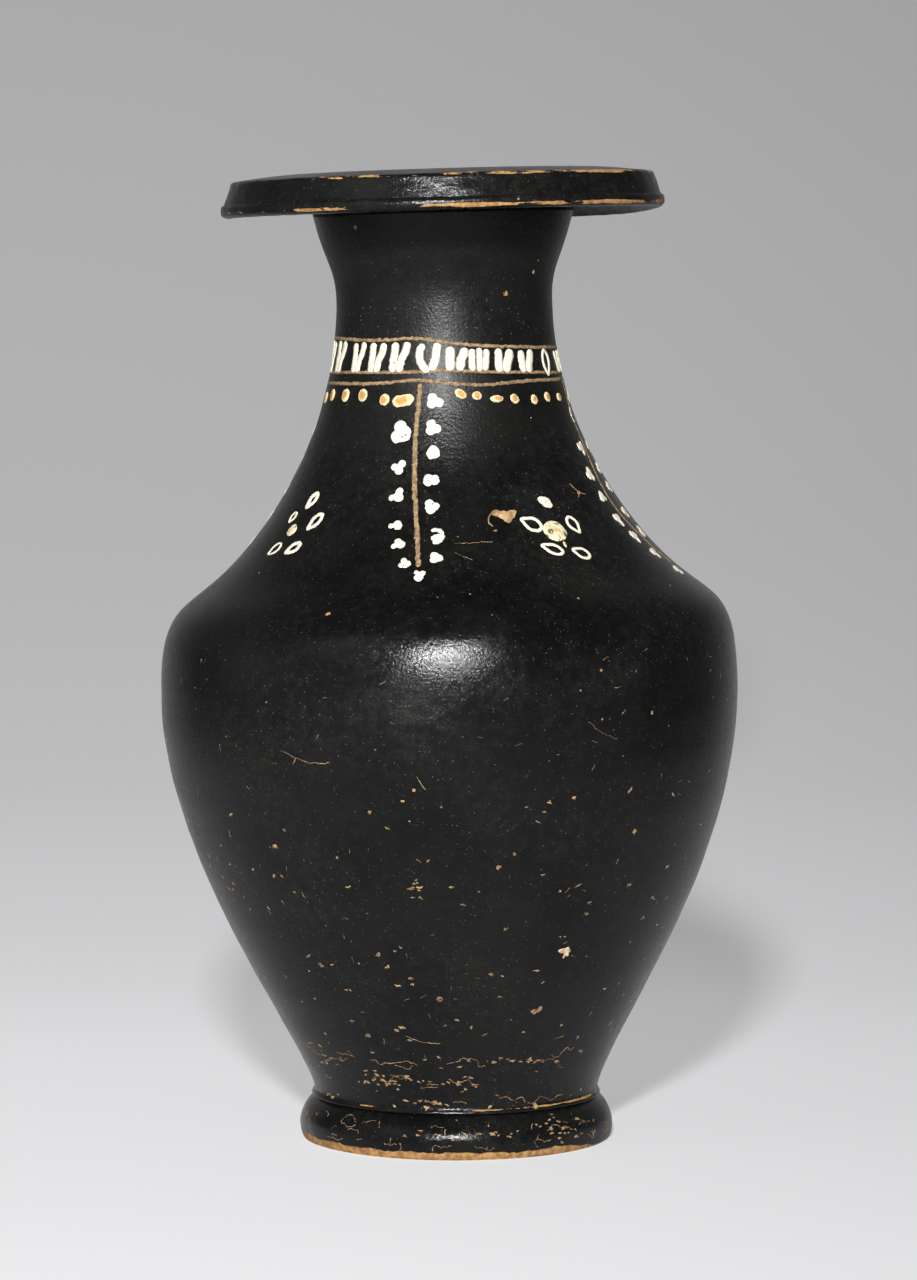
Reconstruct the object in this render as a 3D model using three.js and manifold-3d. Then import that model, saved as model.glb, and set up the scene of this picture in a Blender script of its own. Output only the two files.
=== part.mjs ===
// A wine jug (oinochoe) of black-gloss pottery, about 300 mm high, in millimetres, +Z up.
//
// It is made the way its potter made it: foot, body, shoulder, neck and mouth are thrown on a wheel as
// separate sections, the handle is pulled as a strap, and they are joined with clay slip while leather hard.
// Every section is turned about the jug's axis and then settled: the clay leaned to one side as it dried, so
// the mouth lies 4 mm off the foot's centre and tips down with it. The jug stands on z = 0 and its handle is
// at the back, towards +Y.
import * as THREE from "three";
import { mergeVertices } from "three/addons/utils/BufferGeometryUtils.js";
import Module from "manifold-3d";

const wasm = await Module();
wasm.setup();

// Heights of the thrown sections, from the ground up.
const footHeight = 13.5; // to the groove under the body
const bodyHeight = 162.5; // from the groove to the seam under the shoulder
const bellyDrop = 37.8; // from that seam down to the widest line
const shoulderHeight = 85.0; // from that seam to the narrowest line of the neck
const neckSeamDrop = 28.5; // from that line down to the seam of shoulder and neck
const throatHeight = 27.0; // from that line up to the mouth's underside
const mouthHeight = 12.0; // from the mouth's underside to its highest line

// Outer radii.
const footRadius = 48.8;
const standInset = 0.9; // from there in to the edge of the ring that it stands on
const waistRadius = 43.9; // in the groove under the body
const bellyRadius = 89.4;
const shoulderInset = 17.9; // from there in to the seam under the shoulder
const neckRadius = 33.5;
const throatFlare = 6.9; // from there out to where the neck meets the mouth's underside
const mouthRadius = 68.5; // at the bead along the lip's lower edge

// Walls and the joints between sections.
const wall = 5.0;
const floorThickness = 5.4;
const floorFillet = 8.0;
const footBulge = 4.6; // height at which the foot is widest
const standWidth = 9.0; // of the ring that it stands on
const spigotInset = 7.9; // from the groove in to the disc under the body that the foot ring goes round
const spigotDepth = 2.5;
const seamBevel = 2.5; // how much lower a seam is inside the wall than outside
const slipGap = 0.3; // the slip between two joined pieces

// The mouth: a flat overhanging rim.
const lipDrop = 0.8; // of the lip's lower edge below the mouth's underside
const lipWidth = 3.2; // of that lower edge
const beadHeight = 4.0;
const beadStep = 1.1; // how far the bead stands out from the band above it
const bandLean = 1.6; // how far the lip's band leans in towards its top
const rimEdge = 1.5; // radius of the rim's upper edge
const rimSlope = 1.8; // how much the rim's top falls from the bore to its edge
const undercut = 3.2; // depth of the hollow under the rim
const boreRound = 9.5; // width of the rounding from the rim's top into the bore

// The handle: a ribbed strap at the back.
const strapWidth = 25.0;
const strapThickness = 7.5;
const strapRootWidth = 34.0; // where it spreads over the neck and the shoulder
const ribCount = 3;
const ribDepth = 0.9;
const upperRootHeight = 8.0; // of its upper root above the neck's narrowest line
const lowerRootHeight = 14.5; // of its lower root above the seam under the shoulder
const crownRise = 11.0; // how much it climbs as it leaves the neck
const fingerGap = 29.8; // between the neck's narrowest radius and the strap where it is farthest out
const gripHeight = 69.5; // of that place above the seam under the shoulder

// How the jug settled as it dried.
const leanAngle = 0.84; // of its axis towards -X, in degrees
const tiltAngle = 1.65; // of its shoulder, neck and mouth, in degrees
const rimTwist = 4.0; // how much the rim's back half is wrung, high at the back left

// How finely it is drawn.
const turns = 60;
const shoulderSteps = 10;
const neckSteps = 9;
const strapSteps = 22;
const strapSides = 32;

// Heights above the ground.
const shoulderZ = footHeight + bodyHeight;
const bellyZ = shoulderZ - bellyDrop;
const neckZ = shoulderZ + shoulderHeight;
const neckSeamZ = neckZ - neckSeamDrop;
const throatZ = neckZ + throatHeight;
const rimZ = throatZ + mouthHeight;

// Radii that follow from others.
const standRadius = footRadius - standInset;
const spigotRadius = waistRadius - spigotInset;
const shoulderRadius = bellyRadius - shoulderInset;
const throatRadius = neckRadius + throatFlare;
const gripReach = neckRadius + fingerGap + strapThickness / 2; // of the strap's middle line

const curve = (...points) => new THREE.CubicBezierCurve(...points.map(([r, z]) => new THREE.Vector2(r, z)));
const between = (a, b, share) => a + (b - a) * share;

// The outside of the jug from the groove to the mouth's underside, as radius over height.
// It runs straight on through the seam under the shoulder, along the line that its bend there ends on.
const bendEnd = [between(shoulderRadius, bellyRadius, 0.67), between(bellyZ, shoulderZ, 0.73)];
const outline = [
  curve(
    [waistRadius, footHeight],
    [waistRadius, between(footHeight, bellyZ, 0.105)],
    [bellyRadius, between(footHeight, bellyZ, 0.57)],
    [bellyRadius, bellyZ],
  ),
  curve(
    [bellyRadius, bellyZ],
    [bellyRadius, between(bellyZ, shoulderZ, 0.77)],
    bendEnd,
    [shoulderRadius, shoulderZ],
  ),
  curve(
    [shoulderRadius, shoulderZ],
    [between(bendEnd[0], shoulderRadius, 1.8), between(bendEnd[1], shoulderZ, 1.8)],
    [neckRadius, between(shoulderZ, neckZ, 0.46)],
    [neckRadius, neckZ],
  ),
  curve(
    [neckRadius, neckZ],
    [neckRadius, between(neckZ, throatZ, 0.38)],
    [between(neckRadius, throatRadius, 0.39), between(neckZ, throatZ, 0.37)],
    [throatRadius, throatZ],
  ),
];

function radiusAt(z) {
  const piece = outline.find((c) => z <= c.v3.y) ?? outline.at(-1);
  let low = 0;
  let high = 1;
  for (let i = 0; i < 40; i += 1) {
    const middle = (low + high) / 2;
    if (piece.getPoint(middle).y < z) low = middle;
    else high = middle;
  }
  return piece.getPoint((low + high) / 2).x;
}

// How much longer the wall is than it is high, so that a wall measured level keeps its thickness.
function steepness(z) {
  const step = 0.2;
  const low = Math.max(z - step, footHeight);
  const high = Math.min(z + step, throatZ);
  return Math.hypot(1, (radiusAt(high) - radiusAt(low)) / (high - low));
}

const innerRadiusAt = (z) => radiusAt(z) - wall * steepness(z);

function heights(low, high, count) {
  return Array.from({ length: count + 1 }, (_, i) => between(low, high, i / count));
}

const outside = (low, high, count) => heights(low, high, count).map((z) => [radiusAt(z), z]);
const inside = (high, low, count) => heights(high, low, count).map((z) => [innerRadiusAt(z), z]);
const along = (path, count) => path.getPoints(count).map((p) => [p.x, p.y]);

// Wrings the back half of the rim, from nothing at the bore to the full amount at the lip.
function wring(geometry) {
  const at = geometry.attributes.position;
  for (let i = 0; i < at.count; i += 1) {
    const x = at.getX(i);
    const y = at.getY(i);
    const overhang = THREE.MathUtils.smoothstep(Math.hypot(x, y), throatRadius, mouthRadius);
    at.setZ(i, at.getZ(i) - (rimTwist * overhang * x * Math.max(0, y)) / mouthRadius ** 2);
  }
  return geometry;
}

// Leans the jug over its belly and tips what is above the foot.
function settle(geometry) {
  const lean = Math.tan(THREE.MathUtils.degToRad(leanAngle));
  const tilt = Math.tan(THREE.MathUtils.degToRad(tiltAngle));
  const at = geometry.attributes.position;
  for (let i = 0; i < at.count; i += 1) {
    const x = at.getX(i);
    const z = at.getZ(i);
    const share = THREE.MathUtils.smoothstep(z, footHeight, shoulderZ);
    at.setX(i, x + lean * (bellyZ - z));
    at.setZ(i, z + x * tilt * share);
  }
  return geometry;
}

// A wheel-thrown section from its profile, [radius, height] by point, anticlockwise.
function thrown(profile) {
  const points = profile.map(([r, z]) => new THREE.Vector2(r, z));
  return new THREE.LatheGeometry(points, turns).rotateX(Math.PI / 2);
}

function solidOf(geometry) {
  const bare = new THREE.BufferGeometry();
  bare.setAttribute("position", geometry.attributes.position);
  bare.setIndex(geometry.index);
  const merged = mergeVertices(bare, 1e-4);
  return new wasm.Manifold(
    new wasm.Mesh({
      numProp: 3,
      vertProperties: merged.attributes.position.array,
      triVerts: new Uint32Array(merged.index.array),
    }),
  );
}

function geometryOf(solid) {
  const mesh = solid.getMesh();
  const geometry = new THREE.BufferGeometry();
  geometry.setAttribute("position", new THREE.BufferAttribute(mesh.vertProperties, 3));
  geometry.setIndex(new THREE.BufferAttribute(mesh.triVerts, 1));
  return geometry;
}

function footRing() {
  const seatZ = footHeight - slipGap;
  const roll = curve(
    [standRadius, 0],
    [between(standRadius, footRadius, 0.67), footBulge * 0.14],
    [footRadius, footBulge * 0.46],
    [footRadius, footBulge],
  );
  const upperRoll = curve(
    [footRadius, footBulge],
    [footRadius, between(footBulge, seatZ, 0.42)],
    [between(waistRadius, footRadius, 0.5), between(footBulge, seatZ, 0.74)],
    [waistRadius, seatZ],
  );
  const bore = spigotRadius + slipGap;
  const standInner = Math.max(standRadius - standWidth, bore);
  return thrown([
    [standInner, 0],
    ...along(roll, 5),
    ...along(upperRoll, 6).slice(1),
    [bore, seatZ],
    [bore, between(0, seatZ, 0.4)],
    [standInner, 0],
  ]);
}

function body() {
  const underside = footHeight - spigotDepth;
  const floorZ = footHeight + floorThickness;
  const filletZ = floorZ + floorFillet;
  const filletRadius = innerRadiusAt(filletZ);
  const fillet = curve(
    [filletRadius, filletZ],
    [innerRadiusAt(between(floorZ, filletZ, 0.45)), between(floorZ, filletZ, 0.45)],
    [filletRadius - floorFillet * 0.5, floorZ],
    [filletRadius - floorFillet, floorZ],
  );
  return thrown([
    [0, underside],
    [spigotRadius, underside],
    [spigotRadius, footHeight],
    ...outside(footHeight, bellyZ, 8),
    ...outside(bellyZ, shoulderZ, 8).slice(1),
    ...inside(shoulderZ - seamBevel, bellyZ, 6),
    ...inside(bellyZ, filletZ, 7).slice(1),
    ...along(fillet, 4).slice(1),
    [0, floorZ],
  ]);
}

// A section with nothing but a wall, bevelled for a seam at each end.
function wallSection(low, high, count) {
  const lowest = low + slipGap;
  return thrown([
    ...outside(lowest, high, count),
    ...inside(high - seamBevel, lowest - seamBevel, count),
    [radiusAt(lowest), lowest],
  ]);
}

function mouth() {
  const underZ = throatZ + slipGap;
  const seamZ = underZ - seamBevel;
  const lipZ = throatZ - lipDrop;
  const boreRadius = innerRadiusAt(throatZ);
  const lipInner = mouthRadius - lipWidth;
  const hollowZ = underZ + undercut * 1.33;
  const hollow = curve(
    [throatRadius, underZ],
    [between(throatRadius, lipInner, 0.2), hollowZ],
    [between(throatRadius, lipInner, 0.85), hollowZ],
    [lipInner, lipZ],
  );
  const edge = curve(
    [lipInner, lipZ],
    [mouthRadius - 0.2 * lipWidth, lipZ],
    [mouthRadius, lipZ + 0.15 * beadHeight],
    [mouthRadius, lipZ + 0.5 * beadHeight],
  );
  const bead = curve(
    [mouthRadius, lipZ + 0.5 * beadHeight],
    [mouthRadius, lipZ + 0.8 * beadHeight],
    [mouthRadius - 0.5 * beadStep, lipZ + 0.95 * beadHeight],
    [mouthRadius - beadStep, lipZ + beadHeight],
  );
  const bandRadius = mouthRadius - beadStep - bandLean;
  const edgeZ = rimZ - rimSlope;
  const rimCorner = curve(
    [bandRadius, edgeZ - rimEdge],
    [bandRadius - 0.15 * rimEdge, edgeZ - 0.5 * rimEdge],
    [bandRadius - 0.5 * rimEdge, edgeZ],
    [bandRadius - 1.1 * rimEdge, edgeZ],
  );
  const rounding = curve(
    [boreRadius + boreRound, rimZ],
    [boreRadius + 0.55 * boreRound, rimZ],
    [boreRadius + 0.2 * boreRound, between(throatZ, rimZ, 0.6)],
    [boreRadius, throatZ],
  );
  return wring(
    thrown([
      ...along(hollow, 7),
      ...along(edge, 3).slice(1),
      ...along(bead, 3).slice(1),
      ...along(rimCorner, 3),
      ...along(rounding, 7),
      [innerRadiusAt(seamZ), seamZ],
      [throatRadius, underZ],
    ]),
  );
}

// The strap's middle line, as distance from the axis over height, from inside the neck's wall to inside the
// shoulder's.
function strapLine() {
  const upperZ = neckZ + upperRootHeight;
  const lowerZ = shoulderZ + lowerRootHeight;
  const gripZ = shoulderZ + gripHeight;
  const upperStart = radiusAt(upperZ) - wall / 2;
  const lowerEnd = radiusAt(lowerZ) - wall;
  const line = new THREE.CurvePath();
  line.add(
    curve(
      [upperStart, upperZ],
      [between(upperStart, gripReach, 0.4), upperZ + crownRise],
      [gripReach, between(gripZ, upperZ + crownRise, 0.9)],
      [gripReach, gripZ],
    ),
  );
  line.add(
    curve(
      [gripReach, gripZ],
      [gripReach, between(gripZ, lowerZ, 0.45)],
      [between(gripReach, lowerEnd, 0.35), between(gripZ, lowerZ, 0.8)],
      [lowerEnd, lowerZ],
    ),
  );
  return line;
}

// One ring of the strap: a flattened oval across X, ribbed on its outer side.
function strapRing(width) {
  return Array.from({ length: strapSides }, (_, i) => {
    const angle = (2 * Math.PI * i) / strapSides;
    const across = (Math.sign(Math.cos(angle)) * Math.abs(Math.cos(angle)) ** 0.7 * width) / 2;
    const out = (Math.sign(Math.sin(angle)) * Math.abs(Math.sin(angle)) ** 0.55 * strapThickness) / 2;
    const rib = Math.cos((2 * Math.PI * ribCount * across) / width) * (ribDepth / 2);
    return [across, out > 0 ? out + rib * Math.sin(angle) : out];
  });
}

function strap() {
  const line = strapLine();
  const positions = [];
  const faces = [];
  for (let i = 0; i <= strapSteps; i += 1) {
    const share = i / strapSteps;
    const centre = line.getPointAt(share);
    const tangent = line.getTangentAt(share);
    const spread = Math.max(1 - share / 0.25, 1 - (1 - share) / 0.25, 0) ** 2;
    const width = between(strapWidth, strapRootWidth, spread);
    for (const [across, out] of strapRing(width)) {
      positions.push(across, centre.x - tangent.y * out, centre.y + tangent.x * out);
    }
  }
  const vertex = (step, side) => step * strapSides + (side % strapSides);
  for (let i = 0; i < strapSteps; i += 1) {
    for (let side = 0; side < strapSides; side += 1) {
      const [a, b] = [vertex(i, side), vertex(i, side + 1)];
      const [c, d] = [vertex(i + 1, side), vertex(i + 1, side + 1)];
      faces.push(a, c, b, b, c, d);
    }
  }
  for (let side = 1; side < strapSides - 1; side += 1) {
    faces.push(vertex(0, 0), vertex(0, side), vertex(0, side + 1));
    faces.push(vertex(strapSteps, 0), vertex(strapSteps, side + 1), vertex(strapSteps, side));
  }
  const geometry = new THREE.BufferGeometry();
  geometry.setAttribute("position", new THREE.Float32BufferAttribute(positions, 3));
  geometry.setIndex(faces);
  return geometry;
}

// What the strap's roots lie against: the shoulder and neck, larger by the slip between.
function seatOfStrap() {
  const levels = [
    ...heights(shoulderZ, neckSeamZ, shoulderSteps),
    ...heights(neckSeamZ, throatZ, neckSteps).slice(1),
  ];
  const grown = (z) => [radiusAt(z) + slipGap * steepness(z), z];
  return thrown([[0, shoulderZ], ...levels.map(grown), [0, throatZ]]);
}

const handle = () => geometryOf(solidOf(strap()).subtract(solidOf(seatOfStrap())));

const blackGloss = { color: 0x17171a, roughness: 0.32, metalness: 0 };

function piece(name, geometry, finish = blackGloss) {
  const mesh = new THREE.Mesh(settle(geometry), new THREE.MeshStandardMaterial(finish));
  mesh.name = name;
  return mesh;
}

const jug = new THREE.Group();
jug.add(
  piece("foot_ring", footRing()),
  piece("body", body()),
  piece("shoulder", wallSection(shoulderZ, neckSeamZ, shoulderSteps)),
  piece("neck", wallSection(neckSeamZ, throatZ, neckSteps)),
  piece("mouth_rim", mouth()),
  piece("strap_handle", handle()),
);

export default jug;
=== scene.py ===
import math
import random

import bpy
import numpy as np
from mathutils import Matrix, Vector, noise


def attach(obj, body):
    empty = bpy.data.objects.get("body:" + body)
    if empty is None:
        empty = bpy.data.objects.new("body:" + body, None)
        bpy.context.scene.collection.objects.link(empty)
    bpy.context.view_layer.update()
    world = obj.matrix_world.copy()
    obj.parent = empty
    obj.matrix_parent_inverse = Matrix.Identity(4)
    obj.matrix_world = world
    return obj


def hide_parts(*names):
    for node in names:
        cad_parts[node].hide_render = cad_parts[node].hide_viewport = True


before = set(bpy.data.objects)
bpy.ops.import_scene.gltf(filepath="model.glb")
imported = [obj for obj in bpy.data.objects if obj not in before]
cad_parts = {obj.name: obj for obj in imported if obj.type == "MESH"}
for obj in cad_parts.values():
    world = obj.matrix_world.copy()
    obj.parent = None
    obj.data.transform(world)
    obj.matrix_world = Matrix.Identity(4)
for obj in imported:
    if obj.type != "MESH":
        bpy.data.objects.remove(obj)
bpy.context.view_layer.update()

# A black-gloss wine jug with slip and incised ornament, on a studio floor. Shapes are worked out in
# millimetres as the jug came off the wheel, round +Z, and settle() then leans and tips them as it dried
# and turns them into metres. Angles on the jug are in degrees from the front, growing to the right.

random.seed(11)
MM = 0.001

# Heights and radii of the thrown sections.
FOOT_HEIGHT = 13.5
FOOT_BULGE = 4.6
SHOULDER_Z = FOOT_HEIGHT + 162.5
BELLY_Z = SHOULDER_Z - 37.8
NECK_Z = SHOULDER_Z + 85.0
NECK_SEAM_Z = NECK_Z - 28.5
THROAT_Z = NECK_Z + 27.0
RIM_Z = THROAT_Z + 12.0
FOOT_RADIUS = 48.8
STAND_RADIUS = 47.9
STAND_WIDTH = 9.0
WAIST_RADIUS = 43.9
WAIST_FLARE = 1.1
BELLY_RADIUS = 89.4
SHOULDER_RADIUS = 71.5
NECK_RADIUS = 33.5
THROAT_RADIUS = 40.4
MOUTH_RADIUS = 68.5
WALL = 5.0
FLOOR_THICKNESS = 5.4
SPIGOT_RADIUS = 36.0
SPIGOT_DEPTH = 2.5

# How the jug settled.
LEAN = math.tan(math.radians(0.84))
TILT = math.tan(math.radians(1.65))
RIM_TWIST = 4.0

# How finely it is drawn.
TURNS = 240
WALL_STEP = 1.6

# The camera, in metres and degrees, and the photograph that it matches, in pixels.
CAMERA = (0.002635, -1.53, 0.269)
CAMERA_DIP = 4.267
LENS = 138.8
SENSOR = 36.0
PHOTO_WIDE = 917
PHOTO_HIGH = 1280


def between(a, b, share):
    return a + (b - a) * share


def smoothstep(value, low, high):
    share = np.clip((value - low) / (high - low), 0.0, 1.0)
    return share * share * (3.0 - 2.0 * share)


def bezier(points, count):
    """count + 1 places along the curve of four [radius, height] points."""
    t = np.linspace(0.0, 1.0, count + 1)[:, None]
    a, b, c, d = (np.array(p, dtype=float) for p in points)
    return a * (1 - t) ** 3 + 3 * b * t * (1 - t) ** 2 + 3 * c * t * t * (1 - t) + d * t**3


# The outside of the wall, drawn straight on through the seam under the shoulder.
BEND_END = (between(SHOULDER_RADIUS, BELLY_RADIUS, 0.67), between(BELLY_Z, SHOULDER_Z, 0.73))
OUTLINE = [
    [
        (WAIST_RADIUS, FOOT_HEIGHT),
        (WAIST_RADIUS, between(FOOT_HEIGHT, BELLY_Z, 0.105)),
        (BELLY_RADIUS, between(FOOT_HEIGHT, BELLY_Z, 0.57)),
        (BELLY_RADIUS, BELLY_Z),
    ],
    [
        (BELLY_RADIUS, BELLY_Z),
        (BELLY_RADIUS, between(BELLY_Z, SHOULDER_Z, 0.77)),
        BEND_END,
        (SHOULDER_RADIUS, SHOULDER_Z),
    ],
    [
        (SHOULDER_RADIUS, SHOULDER_Z),
        (between(BEND_END[0], SHOULDER_RADIUS, 1.8), between(BEND_END[1], SHOULDER_Z, 1.8)),
        (NECK_RADIUS, between(SHOULDER_Z, NECK_Z, 0.46)),
        (NECK_RADIUS, NECK_Z),
    ],
    [
        (NECK_RADIUS, NECK_Z),
        (NECK_RADIUS, between(NECK_Z, THROAT_Z, 0.38)),
        (between(NECK_RADIUS, THROAT_RADIUS, 0.39), between(NECK_Z, THROAT_Z, 0.37)),
        (THROAT_RADIUS, THROAT_Z),
    ],
]
OUTSIDE = np.concatenate([bezier(part, 400) for part in OUTLINE])


def rounded(values, width):
    """Softens a run of values over a stretch of that many samples."""
    padded = np.pad(values, width, mode="edge")
    kernel = np.hanning(2 * width + 1)
    return np.convolve(padded, kernel / kernel.sum(), mode="valid")


HEIGHTS = np.arange(FOOT_HEIGHT, THROAT_Z + 0.1, 0.1)
RADII = rounded(np.interp(HEIGHTS, OUTSIDE[:, 1], OUTSIDE[:, 0]), 18)
RADII += WAIST_FLARE * np.exp(-(((HEIGHTS - FOOT_HEIGHT) / 1.3) ** 2))
FOOT_LOWER = [
    (STAND_RADIUS, 0.0),
    (between(STAND_RADIUS, FOOT_RADIUS, 0.67), FOOT_BULGE * 0.14),
    (FOOT_RADIUS, FOOT_BULGE * 0.46),
    (FOOT_RADIUS, FOOT_BULGE),
]
FOOT_UPPER = [
    (FOOT_RADIUS, FOOT_BULGE),
    (FOOT_RADIUS, between(FOOT_BULGE, FOOT_HEIGHT, 0.42)),
    (between(WAIST_RADIUS, FOOT_RADIUS, 0.5), between(FOOT_BULGE, FOOT_HEIGHT, 0.74)),
    (WAIST_RADIUS - 0.6, FOOT_HEIGHT),
]
FOOT_SIDE = np.concatenate([bezier(FOOT_LOWER, 12), bezier(FOOT_UPPER, 16)[1:]])


def radius_at(height):
    if height < FOOT_HEIGHT:
        return float(np.interp(height, FOOT_SIDE[:, 1], FOOT_SIDE[:, 0]))
    return float(np.interp(height, HEIGHTS, RADII))


def slope_at(height):
    """How fast the radius grows with the height."""
    return (radius_at(height + 0.5) - radius_at(height - 0.5)) / 1.0


def steepness(height):
    return math.hypot(1.0, slope_at(height))


def dent(x, y, z):
    """How far the potter's hands left the wall from true, in mm."""
    if z < FOOT_HEIGHT:
        return noise.noise(Vector((x * 0.05, y * 0.05, z * 0.2))) * 0.35
    broad = noise.noise(Vector((x, y, z)) * 0.016) * 0.55
    hand = noise.noise(Vector((x * 0.02, y * 0.02, z * 0.11))) * 0.16
    return (broad + hand) * float(smoothstep(z, FOOT_HEIGHT, FOOT_HEIGHT + 8.0))


def settled(x, y, z):
    """Where a place on the thrown jug lies once the jug has leaned and tipped, in metres."""
    share = smoothstep(z, FOOT_HEIGHT, SHOULDER_Z)
    return (x + LEAN * (BELLY_Z - z)) * MM, y * MM, (z + x * TILT * share) * MM


# Modelling.


def deselect():
    bpy.ops.object.select_all(action="DESELECT")


def named(name):
    piece = bpy.context.object
    piece.name = name
    piece.data.name = name
    return piece


def chosen(*objects):
    deselect()
    for thing in objects:
        thing.select_set(True)
    bpy.context.view_layer.objects.active = objects[0]


def places_of(mesh):
    found = np.empty(len(mesh.vertices) * 3)
    mesh.vertices.foreach_get("co", found)
    return found.reshape(-1, 3)


def place(mesh, places):
    mesh.vertices.foreach_set("co", np.asarray(places, dtype=float).ravel())
    mesh.update()


def keep_thrown(mesh, places):
    """Keeps where each point was thrown, in mm, for the materials to read."""
    thrown = mesh.attributes.get("thrown") or mesh.attributes.new("thrown", "FLOAT_VECTOR", "POINT")
    thrown.data.foreach_set("vector", np.asarray(places, dtype=float).ravel())


def keep_rim(mesh, shares):
    """Keeps how far each point of a dab or stroke lies from its middle, 1 at its rim."""
    rim = mesh.attributes.new("rim", "FLOAT", "POINT")
    rim.data.foreach_set("value", shares)


def settle(piece):
    mesh = piece.data
    places = places_of(mesh)
    keep_thrown(mesh, places)
    x, y, z = settled(*places.T)
    place(mesh, np.column_stack([x, y, z]))


def turned(name, profile):
    """A profile of [radius, height] places, drawn point by point and spun round the axis."""
    deselect()
    bpy.ops.mesh.primitive_circle_add(vertices=3, radius=1.0)
    piece = named(name)
    bpy.ops.object.mode_set(mode="EDIT")
    bpy.ops.mesh.select_mode(type="VERT")
    bpy.ops.mesh.select_all(action="SELECT")
    bpy.ops.mesh.merge(type="CENTER")
    bpy.ops.transform.translate(value=(profile[0][0], 0.0, profile[0][1]))
    for (r0, z0), (r1, z1) in zip(profile, profile[1:]):
        bpy.ops.mesh.extrude_vertices_move(TRANSFORM_OT_translate={"value": (r1 - r0, 0.0, z1 - z0)})
    bpy.ops.mesh.select_all(action="SELECT")
    bpy.ops.mesh.spin(steps=TURNS, angle=2 * math.pi, center=(0, 0, 0), axis=(0, 0, 1))
    bpy.ops.mesh.select_all(action="SELECT")
    bpy.ops.mesh.remove_doubles(threshold=0.002)
    bpy.ops.mesh.normals_make_consistent(inside=False)
    bpy.ops.object.mode_set(mode="OBJECT")
    piece.data.shade_smooth()
    return piece


def wall_run(low, high, inner=False, step=WALL_STEP):
    """The wall's outside going up from low to high, or its inside coming down from high to low."""
    count = max(2, round((high - low) / step))
    heights = np.linspace(low, high, count + 1)
    if not inner:
        return [(radius_at(z), z) for z in heights]
    return [(radius_at(z) - WALL * steepness(z), z) for z in heights[::-1]]


def whole_wall():
    """Body, shoulder and neck as one wall, so that light runs over their seams."""
    floor_z = FOOT_HEIGHT + FLOOR_THICKNESS
    fillet_z = floor_z + 8.0
    fillet_radius = radius_at(fillet_z) - WALL * steepness(fillet_z)
    fillet = bezier(
        [
            (fillet_radius, fillet_z),
            (fillet_radius - 3.0, floor_z + 3.0),
            (fillet_radius - 5.0, floor_z),
            (fillet_radius - 10.0, floor_z),
        ],
        8,
    )
    profile = [(0.0, FOOT_HEIGHT - SPIGOT_DEPTH), (SPIGOT_RADIUS, FOOT_HEIGHT - SPIGOT_DEPTH)]
    profile += [(SPIGOT_RADIUS, FOOT_HEIGHT)]
    profile += wall_run(FOOT_HEIGHT, FOOT_HEIGHT + 5.0, step=0.4)
    profile += wall_run(FOOT_HEIGHT + 5.0, SHOULDER_Z)[1:]
    profile += wall_run(SHOULDER_Z, NECK_SEAM_Z)[1:]
    profile += wall_run(NECK_SEAM_Z, THROAT_Z)[1:]
    profile += wall_run(NECK_SEAM_Z, THROAT_Z, inner=True)
    profile += wall_run(SHOULDER_Z, NECK_SEAM_Z, inner=True)[1:]
    profile += wall_run(fillet_z, SHOULDER_Z, inner=True)[1:]
    profile += [tuple(p) for p in fillet[1:]]
    profile += [(0.0, floor_z)]
    piece = turned("jug_wall", profile)
    places = places_of(piece.data)
    pushed = []
    for x, y, z in places:
        r = math.hypot(x, y)
        push = dent(x, y, z) if r > 20.0 and FOOT_HEIGHT < z else 0.0
        pushed.append((x * (1 + push / max(r, 1.0)), y * (1 + push / max(r, 1.0)), z))
    place(piece.data, pushed)
    settle(piece)
    mesh = piece.data
    normals = mesh.attributes.new("wall_normal", "FLOAT_VECTOR", "POINT")
    normals.data.foreach_set("vector", np.array([v.normal for v in mesh.vertices]).ravel())
    return piece


def thrown_heights(mesh):
    found = np.empty(len(mesh.vertices) * 3)
    mesh.attributes["thrown"].data.foreach_get("vector", found)
    return found.reshape(-1, 3)[:, 2]


def section(wall, name, low, high):
    """The stretch of the wall between two seams, closed at each seam."""
    piece = wall.copy()
    piece.data = wall.data.copy()
    piece.name = name
    piece.data.name = name
    bpy.context.collection.objects.link(piece)
    mesh = piece.data
    heights = thrown_heights(mesh)
    chosen(piece)
    bpy.ops.object.mode_set(mode="EDIT")
    bpy.ops.mesh.select_all(action="DESELECT")
    bpy.ops.object.mode_set(mode="OBJECT")
    for face in mesh.polygons:
        middle = np.mean(heights[list(face.vertices)])
        face.select = not low < middle < high
    bpy.ops.object.mode_set(mode="EDIT")
    bpy.ops.mesh.select_mode(type="FACE")
    bpy.ops.mesh.delete(type="FACE")
    bpy.ops.mesh.select_mode(type="EDGE")
    for seam in (low, high):
        close_seam(piece, seam)
    bpy.ops.object.mode_set(mode="OBJECT")
    found = np.empty(len(mesh.vertices) * 3)
    mesh.attributes["wall_normal"].data.foreach_get("vector", found)
    mesh.normals_split_custom_set_from_vertices(found.reshape(-1, 3))
    return piece


def close_seam(piece, seam):
    """Bridges the wall's outside to its inside where it was cut at that height."""
    bpy.ops.mesh.select_all(action="DESELECT")
    bpy.ops.object.mode_set(mode="OBJECT")
    mesh = piece.data
    heights = thrown_heights(mesh)
    uses = np.zeros(len(mesh.edges), dtype=int)
    for face in mesh.polygons:
        for loop in face.loop_indices:
            uses[mesh.loops[loop].edge_index] += 1
    picked = False
    for edge in mesh.edges:
        at_seam = all(abs(heights[v] - seam) < 0.05 for v in edge.vertices)
        edge.select = bool(at_seam and uses[edge.index] == 1)
        picked = picked or edge.select
    bpy.ops.object.mode_set(mode="EDIT")
    if picked:
        bpy.ops.mesh.bridge_edge_loops()


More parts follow.
